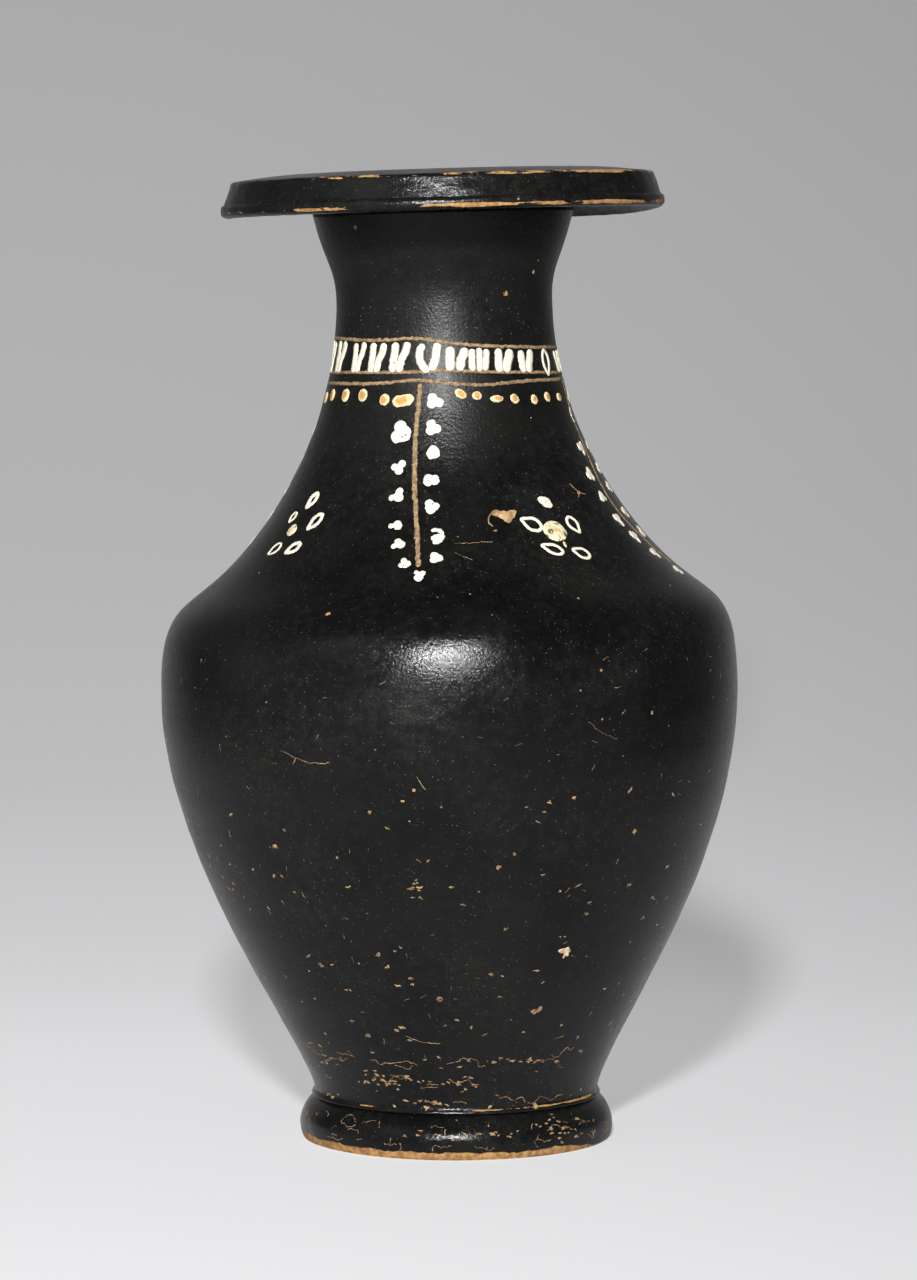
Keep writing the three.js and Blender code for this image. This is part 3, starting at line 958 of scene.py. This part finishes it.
def chips():
    """Angular chips: those seen at the front, then a scatter that is thickest low on the body."""
    parts = []
    for right, down, wide, tall in CHIPS:
        angle, height = seen(right, down)
        outline = oval(wide * 0.9, tall * 0.7, random.gauss(0, 14))
        parts.append(dab(angle, height, outline, 0.02, 1.5, False))
    for left, right, down, stray, count in FLAKE_ROWS:
        for _ in range(count):
            angle, height = seen(between(left, right, random.random()), down + random.gauss(0, stray))
            half, size = random.uniform(0.2, 1.0), random.uniform(0.2, 0.42)
            flake = lobed((-half, random.gauss(0, 0.2), size), (0, 0, size), (half, random.gauss(0, 0.25), size * 0.8))
            parts.append(dab(angle, height, flake, 0.02, 1.2, False))
    for _ in range(250):
        angle = random.uniform(-180, 180)
        height = between(15, 120, random.random() ** 1.4)
        wide, tall = random.uniform(0.7, 2.6), random.uniform(0.5, 1.5)
        parts.append(dab(angle, height, oval(wide, tall * 0.8, random.gauss(0, 20)), 0.02, 1.5, False))
    flake = lobed((-2.2, 1.3, 1.3), (-0.1, 0.6, 1.6), (2.5, 0.7, 1.6), (3.6, 1.3, 0.8), (0.9, -1.0, 1.3))
    parts.append(dab(18.3, 195.4, flake, 0.03, 0.25))
    hook = [(14.5, 196.7), (13.2, 195.2), (13.1, 193.6), (14.2, 192.6)]
    parts.append(stroke(hook, 0.6, 0.03, count=16, rough=0.8, sides=4))
    parts.append(dab(14.6, 191.4, oval(1.4, 0.7), 0.03, 0.6, False))
    parts.append(dab(52.0, 201.0, oval(1.9, 1.5), 0.03, 0.9, False))
    for ray in ([(52.0, 201.0), (49.3, 203.9)], [(52.0, 201.0), (55.8, 200.3)], [(52.0, 201.0), (50.6, 199.4)]):
        parts.append(stroke(ray, 0.45, 0.03, count=8, sides=4))
    ring = [moved(-4.0, 51.3, 0.75 * math.cos(t), 0.75 * math.sin(t)) for t in np.linspace(0, 2 * math.pi, 7)]
    parts.append(stroke(ring, 0.5, 0.03, loop=True, count=16, rough=0.7, sides=4))
    crescent = lobed((-0.9, -0.5, 0.9), (0.9, 0.5, 0.8), (0.2, -0.3, 0.7))
    parts.append(dab(25.1, 46.9, crescent, 0.03, 0.4))
    return joined("gloss_chips", parts)


def fresh_chips():
    """The newest chips, paler than the rest."""
    big = lobed((-1.0, 0.7, 1.0), (0.6, 0.5, 1.2), (0.9, -0.9, 0.7), (0.1, -1.4, 0.5), (-1.6, 0.6, 0.5))
    parts = [dab(29.1, 65.1, big, 0.04, 0.3), dab(17.2, 195.6, oval(1.7, 1.3, 30), 0.07, 0.5)]
    return joined("fresh_chips", parts)


# The cracks that stand out at the front, as their width in mm and the pixels that they run through.
CRACKS = [
    (0.3, [(281, 750), (296, 758), (311, 763), (331, 763)]),
    (0.25, [(296, 758), (293, 765)]),
    (0.3, [(416, 776), (420, 782), (426, 791)]),
    (0.15, [(588, 721), (602, 733), (619, 739)]),
    (0.25, [(454, 543), (466, 543), (480, 542), (494, 542)]),
    (0.2, [(453, 552), (475, 561)]),
    (0.3, [(404, 1036), (423, 1042), (442, 1044)]),
]


def crack(points, width):
    """A ragged crack through the gloss, swelling and thinning along its way."""
    count = max(6, 5 * len(points))
    return stroke(points, width * 0.75, 0.02, count=count, rough=1.5, wander=0.4, sides=4)


def wandering(angle, height, heading, steps, reach):
    """Places along a way that starts at that heading in degrees and strays from it."""
    points = [(angle, height)]
    for _ in range(steps):
        turn = math.radians(random.gauss(heading, 24))
        points.append(moved(*points[-1], reach * math.cos(turn), reach * math.sin(turn)))
    return points


def cracks():
    """Cracks seen at the front, then others round the rest of the foot and the lower body."""
    parts = [crack([seen(*pixel) for pixel in pixels], width) for width, pixels in CRACKS]
    for _ in range(60):
        angle, height = random.uniform(-180, 180), random.choice((17.5, 22.8, 25.0, 29.5, 31.0, 37.0))
        steps = random.randint(2, 6)
        height += random.gauss(0, 0.8)
        parts.append(crack(wandering(angle, height, 0, steps, random.uniform(1.2, 2.6)), random.uniform(0.2, 0.4)))
    for _ in range(80):
        angle, height = random.uniform(-180, 180), random.uniform(3.4, 11.0)
        upright = random.random() < 0.4
        steps = 2 if upright else random.randint(2, 5)
        way = wandering(angle, height, -90 if upright else 0, steps, random.uniform(0.9, 1.8))
        parts.append(crack([p for p in way if 1.5 < p[1] < 11.5], random.uniform(0.2, 0.35)))
    return joined("gloss_cracks", parts)


def scratches():
    """Short fine scratches, some straight and some curled."""
    parts = []
    for _ in range(240):
        angle = random.uniform(-180, 180)
        height = between(30, 156, random.random() ** 0.8)
        heading = random.gauss(20, 60)
        bend = random.uniform(-45, 45)
        reach = random.uniform(0.3, 1.0)
        points = [(angle, height)]
        for _ in range(3):
            heading += bend * random.random()
            turn = math.radians(heading)
            points.append(moved(*points[-1], reach * math.cos(turn), reach * math.sin(turn)))
        parts.append(stroke(points, random.uniform(0.08, 0.17), 0.02, count=6, rough=0.7, sides=4))
    return joined("fine_scratches", parts)


# Materials.


def put(tree, socket, value):
    if isinstance(value, bpy.types.NodeSocket):
        tree.links.new(value, socket)
    elif value is not None:
        socket.default_value = value


def node(tree, kind, values=(), **settings):
    made = tree.nodes.new(kind)
    for key, value in settings.items():
        setattr(made, key, value)
    for key, value in dict(values).items():
        put(tree, made.inputs[key], value)
    return made


def calc(tree, operation, a, b=None, c=None, clamp=False):
    made = node(tree, "ShaderNodeMath", operation=operation, use_clamp=clamp)
    for socket, value in zip(made.inputs, (a, b, c)):
        put(tree, socket, value)
    return made.outputs[0]


def mixed(tree, factor, a, b):
    made = node(tree, "ShaderNodeMix", data_type="RGBA")
    put(tree, made.inputs[0], factor)
    put(tree, made.inputs[6], a)
    put(tree, made.inputs[7], b)
    return made.outputs[2]


def step_up(tree, value, low, high):
    """0 below low, 1 above high, smooth between."""
    made = node(tree, "ShaderNodeMapRange", interpolation_type="SMOOTHSTEP")
    put(tree, made.inputs["Value"], value)
    put(tree, made.inputs["From Min"], low)
    put(tree, made.inputs["From Max"], high)
    return made.outputs[0]


def band(tree, value, low, high, soft):
    """1 where value lies between low and high, falling off over soft on both sides."""
    up = step_up(tree, value, low - soft, low + soft)
    down = calc(tree, "SUBTRACT", 1.0, step_up(tree, value, high - soft, high + soft))
    return calc(tree, "MULTIPLY", up, down)


def cloud(tree, where, scale, detail=3.0, roughness=0.55):
    """Noise from 0 to 1 round 0.5, with scale as its count per millimetre."""
    made = node(
        tree,
        "ShaderNodeTexNoise",
        {"Vector": where, "Scale": scale, "Detail": detail, "Roughness": roughness},
    )
    return made.outputs[0]


def stretched(tree, where, x, y, z):
    made = node(tree, "ShaderNodeVectorMath", operation="MULTIPLY")
    put(tree, made.inputs[0], where)
    made.inputs[1].default_value = (x, y, z)
    return made.outputs[0]


def new_group(name, inputs, outputs):
    """A shader group with named float sockets, or vectors where the default says so."""
    tree = bpy.data.node_groups.new(name, "ShaderNodeTree")
    for label, default in inputs.items():
        kind = "NodeSocketVector" if default == "vector" else "NodeSocketFloat"
        socket = tree.interface.new_socket(label, in_out="INPUT", socket_type=kind)
        if kind == "NodeSocketFloat":
            socket.default_value = default
    for label, kind in outputs.items():
        tree.interface.new_socket(label, in_out="OUTPUT", socket_type=kind)
    return tree, tree.nodes.new("NodeGroupInput"), tree.nodes.new("NodeGroupOutput")


def thrown_group():
    """Where a point was thrown on the wheel, in mm, its height, distance from the axis and x."""
    kinds = {"Place": "NodeSocketVector", "Height": "NodeSocketFloat", "Radius": "NodeSocketFloat"}
    kinds["Across"] = "NodeSocketFloat"
    tree, _, out = new_group("thrown place", {}, kinds)
    read = node(tree, "ShaderNodeAttribute", attribute_name="thrown")
    split = node(tree, "ShaderNodeSeparateXYZ", {"Vector": read.outputs["Vector"]})
    flat = node(tree, "ShaderNodeCombineXYZ", {"X": split.outputs[0], "Y": split.outputs[1]})
    size = node(tree, "ShaderNodeVectorMath", {0: flat.outputs[0]}, operation="LENGTH")
    put(tree, out.inputs["Place"], read.outputs["Vector"])
    put(tree, out.inputs["Height"], split.outputs[2])
    put(tree, out.inputs["Radius"], size.outputs["Value"])
    put(tree, out.inputs["Across"], split.outputs[0])
    return tree


def specks_group():
    """Small spots: one chance in each cell, Share of them filled, each Size mm across."""
    inputs = {"Place": "vector", "Cell": 4.0, "Size": 0.5, "Share": 0.2}
    tree, given, out = new_group("specks", inputs, {"Mask": "NodeSocketFloat"})
    scale = calc(tree, "DIVIDE", 1.0, given.outputs["Cell"])
    cells = node(tree, "ShaderNodeTexVoronoi", {"Vector": given.outputs["Place"], "Scale": scale})
    chance = node(tree, "ShaderNodeSeparateXYZ", {"Vector": cells.outputs["Color"]})
    away = calc(tree, "MULTIPLY", cells.outputs["Distance"], given.outputs["Cell"])
    ragged = calc(tree, "MULTIPLY", cloud(tree, given.outputs["Place"], 2.5, 2.0), given.outputs["Size"])
    reach = calc(tree, "MULTIPLY", calc(tree, "ADD", ragged, ragged), chance.outputs[1])
    spot = step_up(tree, calc(tree, "SUBTRACT", reach, away), -0.05, 0.1)
    lucky = calc(tree, "LESS_THAN", chance.outputs[0], given.outputs["Share"])
    put(tree, out.inputs["Mask"], calc(tree, "MULTIPLY", spot, lucky))
    return tree


def wear_group():
    """Wear in ragged streaks: Amount of the surface is bare where Where is 1."""
    inputs = {"Place": "vector", "Where": 1.0, "Amount": 0.5}
    tree, given, out = new_group("edge wear", inputs, {"Mask": "NodeSocketFloat"})
    streak = stretched(tree, given.outputs["Place"], 0.35, 0.35, 1.6)
    coarse = cloud(tree, streak, 0.35, 5.0, 0.65)
    broad = cloud(tree, given.outputs["Place"], 0.035, 1.0)
    both = calc(tree, "ADD", coarse, calc(tree, "MULTIPLY", calc(tree, "SUBTRACT", broad, 0.5), 0.9))
    need = calc(tree, "SUBTRACT", 1.0, calc(tree, "MULTIPLY", given.outputs["Where"], given.outputs["Amount"]))
    put(tree, out.inputs["Mask"], step_up(tree, calc(tree, "SUBTRACT", both, need), 0.0, 0.025))
    return tree


def finish_group():
    """Mottling, grain and dull bloom from 0 to 1, and the height of wheel lines and peel in mm."""
    kinds = {"Mottle": "NodeSocketFloat", "Grain": "NodeSocketFloat", "Bloom": "NodeSocketFloat"}
    kinds["Relief"] = "NodeSocketFloat"
    tree, given, out = new_group("gloss finish", {"Place": "vector"}, kinds)
    where = given.outputs["Place"]
    broad = cloud(tree, where, 0.022, 3.0, 0.6)
    fine = cloud(tree, where, 0.35, 4.0, 0.7)
    mottle = calc(tree, "ADD", calc(tree, "MULTIPLY", broad, 0.6), calc(tree, "MULTIPLY", fine, 0.4))
    lines = cloud(tree, stretched(tree, where, 0.03, 0.03, 1.0), 0.9, 3.0, 0.6)
    peel = cloud(tree, where, 1.1, 3.0, 0.6)
    relief = calc(tree, "ADD", calc(tree, "MULTIPLY", lines, 0.04), calc(tree, "MULTIPLY", peel, 0.14))
    patches = calc(tree, "MULTIPLY_ADD", calc(tree, "SUBTRACT", fine, 0.5), 0.55, cloud(tree, where, 0.028, 4.0, 0.6))
    put(tree, out.inputs["Bloom"], step_up(tree, patches, 0.48, 0.78))
    put(tree, out.inputs["Mottle"], mottle)
    put(tree, out.inputs["Grain"], cloud(tree, where, 1.9, 3.0, 0.65))
    put(tree, out.inputs["Relief"], relief)
    return tree


THROWN = thrown_group()
SPECKS = specks_group()
WEAR = wear_group()
FINISH = finish_group()

CLAY_LIGHT = (0.56, 0.32, 0.12, 1)
CLAY_DARK = (0.3, 0.15, 0.055, 1)
GLOSS_DARK = (0.0028, 0.0028, 0.003, 1)
GLOSS_GREY = (0.007, 0.007, 0.0064, 1)
BLOOM = (0.019, 0.02, 0.0165, 1)
DUST = (0.3, 0.27, 0.22, 1)


def group(tree, kind, **values):
    made = tree.nodes.new("ShaderNodeGroup")
    made.node_tree = kind
    for key, value in values.items():
        put(tree, made.inputs[key], value)
    return made


def material(name):
    made = bpy.data.materials.new(name)
    made.use_nodes = True
    tree = made.node_tree
    return made, tree, tree.nodes["Principled BSDF"]


def clay_colour(tree, where):
    return mixed(tree, step_up(tree, cloud(tree, where, 0.6, 4.0), 0.35, 0.65), CLAY_DARK, CLAY_LIGHT)


def gloss_material(name, worn=None, specks=0.16):
    """Black gloss, mottled and speckled. worn(tree, at) adds a piece's own wear."""
    made, tree, shader = material(name)
    at = group(tree, THROWN)
    where = at.outputs["Place"]
    finish = group(tree, FINISH, Place=where)
    mottle = step_up(tree, finish.outputs["Mottle"], 0.38, 0.6)
    colour = mixed(tree, mottle, GLOSS_DARK, GLOSS_GREY)
    dull = calc(tree, "MULTIPLY", finish.outputs["Bloom"], step_up(tree, finish.outputs["Grain"], 0.35, 0.75))
    colour = mixed(tree, calc(tree, "MULTIPLY", dull, 0.9, clamp=True), colour, BLOOM)
    settled_dust = band(tree, at.outputs["Height"], NECK_Z - 22.0, NECK_Z, 9.0)
    thickness = calc(tree, "MAXIMUM", settled_dust, calc(tree, "MULTIPLY_ADD", finish.outputs["Bloom"], 0.45, 0.3))
    dust = group(tree, SPECKS, Place=where, Cell=0.75, Size=0.2, Share=0.32).outputs[0]
    colour = mixed(tree, calc(tree, "MULTIPLY", dust, calc(tree, "MULTIPLY", thickness, 0.8)), colour, DUST)
    small = group(tree, SPECKS, Place=where, Cell=3.2, Size=0.42, Share=specks)
    large = group(tree, SPECKS, Place=where, Cell=9.0, Size=0.8, Share=specks * 0.7)
    bare = calc(tree, "MAXIMUM", small.outputs[0], large.outputs[0])
    if worn:
        bare = calc(tree, "MAXIMUM", bare, worn(tree, at))
    put(tree, shader.inputs["Base Color"], mixed(tree, bare, colour, clay_colour(tree, where)))
    polish = calc(tree, "MULTIPLY_ADD", mottle, 0.08, 0.05)
    polish = calc(tree, "MULTIPLY_ADD", finish.outputs["Grain"], 0.15, polish)
    polish = calc(tree, "MULTIPLY_ADD", finish.outputs["Bloom"], 0.1, polish)
    polish = calc(tree, "MULTIPLY_ADD", band(tree, at.outputs["Height"], NECK_Z - 50.0, THROAT_Z, 20.0), 0.17, polish)
    put(tree, shader.inputs["Roughness"], calc(tree, "ADD", polish, calc(tree, "MULTIPLY", bare, 0.45)))
    relief = calc(tree, "SUBTRACT", finish.outputs["Relief"], calc(tree, "MULTIPLY", bare, 0.12))
    bump = node(tree, "ShaderNodeBump", {"Height": relief, "Strength": 1.0, "Distance": MM})
    put(tree, shader.inputs["Normal"], bump.outputs[0])
    shader.inputs["Specular IOR Level"].default_value = 0.28
    return made


def mouth_wear(tree, at):
    """The top edge is worn from a little left of the front to the right, the bead along its whole right side."""
    height, across = at.outputs["Height"], at.outputs["Across"]
    outer = step_up(tree, at.outputs["Radius"], MOUTH_RADIUS - 6.0, MOUTH_RADIUS - 4.0)
    rightward = step_up(tree, across, -45.0, 25.0)
    top_edge = calc(tree, "MULTIPLY", band(tree, height, RIM_Z - 2.8, RIM_Z - 1.2, 0.4), 1.12)
    top_edge = calc(tree, "MULTIPLY", top_edge, calc(tree, "MULTIPLY_ADD", step_up(tree, across, -35.0, -5.0), 0.5, 0.5))
    lip_edge = band(tree, height, THROAT_Z - 0.2, THROAT_Z + 1.3, 0.5)
    lip_edge = calc(tree, "MULTIPLY", lip_edge, calc(tree, "MULTIPLY_ADD", rightward, 0.14, 0.88))
    edges = calc(tree, "MULTIPLY", calc(tree, "MAXIMUM", top_edge, lip_edge), outer)
    return group(tree, WEAR, Place=at.outputs["Place"], Where=edges, Amount=0.53).outputs[0]


def foot_wear(tree, at):
    """A bare band of ragged height where the foot stands, and the bare clay beneath it."""
    ragged = calc(tree, "SUBTRACT", cloud(tree, at.outputs["Place"], 0.12, 5.0, 0.6), 0.5)
    low = calc(tree, "ADD", at.outputs["Height"], calc(tree, "MULTIPLY", ragged, 3.4))
    limit = calc(tree, "MULTIPLY_ADD", step_up(tree, at.outputs["Across"], 30.0, 46.0), -2.2, 2.3)
    reserved = calc(tree, "SUBTRACT", 1.0, step_up(tree, calc(tree, "SUBTRACT", low, limit), -0.1, 0.2))
    inside = calc(tree, "LESS_THAN", at.outputs["Radius"], WAIST_RADIUS - 1.5)
    beneath = calc(tree, "LESS_THAN", at.outputs["Height"], 0.05)
    return calc(tree, "MAXIMUM", reserved, calc(tree, "MAXIMUM", inside, beneath))


def waist_wear(tree, at):
    """The groove over the foot, worn brown in broken stretches."""
    edge = band(tree, at.outputs["Height"], FOOT_HEIGHT + 0.8, FOOT_HEIGHT + 1.5, 0.3)
    return group(tree, WEAR, Place=at.outputs["Place"], Where=edge, Amount=0.44).outputs[0]


def slip_material(name, pale, deep, share=0.5, worn=0.12, streaks=None, rim=0.0):
    """Slip laid on with a brush: deep colour under pale, with dark pinholes and perhaps upright streaks."""
    made, tree, shader = material(name)
    where = group(tree, THROWN).outputs["Place"]
    tone = cloud(tree, where, 0.5, 3.0)
    if rim:
        from_middle = node(tree, "ShaderNodeAttribute", attribute_name="rim").outputs["Fac"]
        tone = calc(tree, "MULTIPLY_ADD", calc(tree, "SUBTRACT", from_middle, 0.5), rim, tone)
    tone = step_up(tree, tone, share - 0.12, share + 0.12)
    colour = mixed(tree, tone, deep, pale)
    if streaks:
        runs = cloud(tree, stretched(tree, where, 1.0, 1.0, 0.18), 1.1, 3.0)
        colour = mixed(tree, step_up(tree, runs, 0.56, 0.62), colour, streaks)
    holes = group(tree, SPECKS, Place=where, Cell=1.1, Size=0.34, Share=worn)
    colour = mixed(tree, holes.outputs[0], colour, (0.05, 0.035, 0.02, 1))
    put(tree, shader.inputs["Base Color"], colour)
    shader.inputs["Roughness"].default_value = 0.62
    bump = node(tree, "ShaderNodeBump", {"Height": cloud(tree, where, 1.6, 4.0), "Strength": 0.5})
    bump.inputs["Distance"].default_value = 0.15 * MM
    put(tree, shader.inputs["Normal"], bump.outputs[0])
    return made


def clay_material(name, dark, light, scale=0.9):
    made, tree, shader = material(name)
    where = group(tree, THROWN).outputs["Place"]
    tone = step_up(tree, cloud(tree, where, scale, 5.0, 0.7), 0.38, 0.62)
    put(tree, shader.inputs["Base Color"], mixed(tree, tone, dark, light))
    shader.inputs["Roughness"].default_value = 0.85
    bump = node(tree, "ShaderNodeBump", {"Height": cloud(tree, where, 1.8, 4.0), "Strength": 0.8})
    bump.inputs["Distance"].default_value = 0.25 * MM
    put(tree, shader.inputs["Normal"], bump.outputs[0])
    return made


# The jug.

wall = whole_wall()
pieces = {
    "jug_body": (section(wall, "jug_body", 0.0, SHOULDER_Z), "body"),
    "jug_shoulder": (section(wall, "jug_shoulder", SHOULDER_Z, NECK_SEAM_Z), "shoulder"),
    "jug_neck": (section(wall, "jug_neck", NECK_SEAM_Z, THROAT_Z + 1.0), "neck"),
    "jug_foot": (foot(), "foot_ring"),
    "jug_mouth": (mouth(), "mouth_rim"),
    "jug_handle": (handle(), "strap_handle"),
}
bpy.data.objects.remove(wall)

finishes = {
    "jug_body": gloss_material("gloss_body", waist_wear),
    "jug_shoulder": gloss_material("gloss_shoulder", specks=0.1),
    "jug_neck": gloss_material("gloss_neck", specks=0.12),
    "jug_foot": gloss_material("gloss_foot", foot_wear),
    "jug_mouth": gloss_material("gloss_mouth", mouth_wear),
    "jug_handle": gloss_material("gloss_handle"),
}
for name, (piece, cad_node) in pieces.items():
    piece.data.materials.clear()
    piece.data.materials.append(finishes[name])
    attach(piece, "root")
    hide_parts(cad_node)

white = slip_material("white_slip", (0.86, 0.82, 0.66, 1), (0.72, 0.66, 0.48, 1), 0.4)
yellow = slip_material("yellow_slip", (0.84, 0.68, 0.4, 1), (0.6, 0.3, 0.075, 1), 0.55, rim=0.7)
straw = slip_material("straw_slip", (0.84, 0.74, 0.5, 1), (0.6, 0.46, 0.2, 1), 0.45, streaks=(0.09, 0.085, 0.04, 1), rim=0.3)
line_clay = clay_material("incised_clay", (0.17, 0.11, 0.05, 1), (0.42, 0.28, 0.15, 1))
chip_clay = clay_material("chip_clay", (0.2, 0.11, 0.05, 1), (0.52, 0.34, 0.17, 1), 0.45)
fresh_clay = clay_material("fresh_clay", (0.62, 0.36, 0.16, 1), (0.88, 0.78, 0.58, 1), 0.3)

ornament = [
    (incised_lines(), line_clay, "bare_clay"),
    (tongues(), white, "white_slip"),
    (beads(), yellow, "yellow_slip"),
    (pendant_dabs(), white, "white_slip"),
    (rosettes(), white, "white_slip"),
    (rosette_hearts(), straw, "yellow_slip"),
    (chips(), chip_clay, "bare_clay"),
    (fresh_chips(), fresh_clay, "bare_clay"),
    (cracks(), chip_clay, "bare_clay"),
    (scratches(), chip_clay, "bare_clay"),
]
for piece, finish, slot in ornament:
    piece.data.materials.clear()
    piece.data.materials.append(finish)
    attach(piece, "root")
for pattern in BLANKS.values():
    bpy.data.objects.remove(pattern)

# The studio.

# How bright the paper glows as [metres back plus metres up, tone], from its front edge to the wall's top. It is
# brightest at the front edge and dims up the wall: a painted falloff of light and painted shade.
PAPER = [
    (-0.65, 0.53), (-0.23, 0.465), (-0.12, 0.445), (0.0, 0.435), (0.15, 0.43), (0.28, 0.4), (0.42, 0.32),
    (0.6, 0.245), (1.1, 0.21), (1.7, 0.16), (4.5, 0.11),
]
# The share of that glow that the gloss mirrors.
MIRRORED = 0.4
# The wall's darker colour is painted shade; floor and wall are one paper.
FLOOR_COLOUR = (0.46, 0.46, 0.47, 1)
WALL_SHADE_COLOUR = (0.28, 0.28, 0.285, 1)


def paper_material():
    """Pale paper. What the eye and the gloss see of it is lifted by a glow, and the lamps add the rest. The glow and
    the colour fall off up the sweep, to the sides and to the right: painted shade.
    """
    made, tree, shader = material("studio_paper")
    coords = node(tree, "ShaderNodeTexCoord")
    split = node(tree, "ShaderNodeSeparateXYZ", {"Vector": coords.outputs["Object"]})
    along = calc(tree, "ADD", split.outputs[1], split.outputs[2])
    low, high = PAPER[0][0], PAPER[-1][0]
    share = node(tree, "ShaderNodeMapRange", {"Value": along, "From Min": low, "From Max": high})
    ramp = node(tree, "ShaderNodeValToRGB", {"Fac": share.outputs[0]})
    stops = ramp.color_ramp.elements
    while len(stops) < len(PAPER):
        stops.new(0.5)
    for stop, (place_at, tone) in zip(stops, PAPER):
        stop.position = (place_at - low) / (high - low)
        stop.color = (tone, tone, tone * 1.01, 1)
    rays = node(tree, "ShaderNodeLightPath")
    mirrored = calc(tree, "MULTIPLY", rays.outputs["Is Glossy Ray"], MIRRORED)
    looking = calc(tree, "ADD", rays.outputs["Is Camera Ray"], mirrored, clamp=True)
    looking = calc(tree, "ADD", looking, rays.outputs["Is Transmission Ray"], clamp=True)
    put(tree, shader.inputs["Emission Color"], ramp.outputs[0])
    # The glow dims from left to right and falls off toward the sides: painted shade.
    edges = {"Value": split.outputs[0], "From Min": -0.8, "From Max": 0.8, "To Min": 1.4, "To Max": 0.6}
    dimmer = node(tree, "ShaderNodeMapRange", edges).outputs[0]
    painted_side_shade = step_up(tree, calc(tree, "ABSOLUTE", split.outputs[0]), 0.28, 0.8)
    dimmer = calc(tree, "MULTIPLY", dimmer, calc(tree, "MULTIPLY_ADD", painted_side_shade, -0.7, 1.0))
    put(tree, shader.inputs["Emission Strength"], calc(tree, "MULTIPLY", looking, dimmer))
    # The paper darkens to the wall colour up the sweep and toward the sides: painted shade.
    painted_shade_tint = mixed(tree, step_up(tree, along, 0.2, 0.9), FLOOR_COLOUR, WALL_SHADE_COLOUR)
    painted_shade_tint = mixed(tree, calc(tree, "MULTIPLY", painted_side_shade, 0.6), painted_shade_tint, WALL_SHADE_COLOUR)
    put(tree, shader.inputs["Base Color"], painted_shade_tint)
    shader.inputs["Roughness"].default_value = 0.9
    shader.inputs["Specular IOR Level"].default_value = 0.1
    # The wall shows from its front only, so that the jug can be looked at from behind.
    behind = node(tree, "ShaderNodeNewGeometry").outputs["Backfacing"]
    sides = node(tree, "ShaderNodeMixShader", {0: behind, 1: shader.outputs[0]})
    put(tree, sides.inputs[2], node(tree, "ShaderNodeBsdfTransparent").outputs[0])
    put(tree, tree.nodes["Material Output"].inputs["Surface"], sides.outputs[0])
    return made


def backdrop():
    """A floor that sweeps up into a wall behind the jug."""
    deselect()
    bpy.ops.mesh.primitive_grid_add(x_subdivisions=2, y_subdivisions=160, size=1.0)
    piece = named("studio_floor")
    front, turn_y, radius, top = 0.65, 0.3, 0.6, 3.6
    arc = radius * math.pi / 2
    places = []
    for x, y, _ in places_of(piece.data):
        run = (y + 0.5) * (front + turn_y + arc + top) - front
        bend = min(max((run - turn_y) / radius, 0.0), math.pi / 2)
        beyond = max(run - turn_y - arc, 0.0)
        y = min(run, turn_y) + radius * math.sin(bend)
        places.append((x * 9.0, y, radius * (1 - math.cos(bend)) + beyond))
    place(piece.data, places)
    piece.data.shade_smooth()
    piece.data.materials.append(paper_material())


def softbox(name, place_at, aim, size, power, spread=180):
    light = bpy.data.lights.new(name, "AREA")
    light.shape = "RECTANGLE"
    light.size, light.size_y = size
    light.energy = power
    light.spread = math.radians(spread)
    lamp = bpy.data.objects.new(name, light)
    bpy.context.collection.objects.link(lamp)
    lamp.location = place_at
    lamp.rotation_euler = (Vector(aim) - Vector(place_at)).to_track_quat("-Z", "Y").to_euler()


backdrop()
softbox("key", (-0.1, -1.85, 0.92), (-0.01, 0, 0.15), (0.13, 0.18), 4.9, 56)
softbox("fill_left", (-1.7, -1.5, 1.5), (0, 0, 0.15), (1.2, 1.2), 2.4)

# How bright the room is by the sine of the height looked at: a pale floor, and dimmer walls and ceiling.
ROOM = [(-1.0, 0.1), (-0.3, 0.3), (-0.08, 0.5), (-0.03, 0.42), (0.04, 0.24), (0.3, 0.17), (0.6, 0.11), (1.0, 0.08)]


def room():
    """The light of the room round the jug."""
    world = bpy.data.worlds.new("studio")
    bpy.context.scene.world = world
    world.use_nodes = True
    tree = world.node_tree
    coords = node(tree, "ShaderNodeTexCoord")
    split = node(tree, "ShaderNodeSeparateXYZ", {"Vector": coords.outputs["Generated"]})
    share = node(tree, "ShaderNodeMapRange", {"Value": split.outputs[2], "From Min": -1.0, "From Max": 1.0})
    ramp = node(tree, "ShaderNodeValToRGB", {"Fac": share.outputs[0]})
    stops = ramp.color_ramp.elements
    while len(stops) < len(ROOM):
        stops.new(0.5)
    for stop, (rise, tone) in zip(stops, ROOM):
        stop.position = (rise + 1.0) / 2.0
        stop.color = (tone, tone, tone * 1.04, 1)
    put(tree, tree.nodes["Background"].inputs["Color"], ramp.outputs[0])
    dimmer = calc(tree, "MULTIPLY_ADD", split.outputs[0], -0.46, 1.15)
    put(tree, tree.nodes["Background"].inputs["Strength"], dimmer)


room()

view = bpy.data.cameras.new("view")
view.lens = LENS
view.sensor_width = SENSOR
camera = bpy.data.objects.new("view", view)
bpy.context.collection.objects.link(camera)
camera.location = CAMERA
camera.rotation_euler = (math.radians(90.0 - CAMERA_DIP), 0.0, 0.0)
bpy.context.scene.camera = camera
bpy.context.scene.view_settings.view_transform = "Standard"
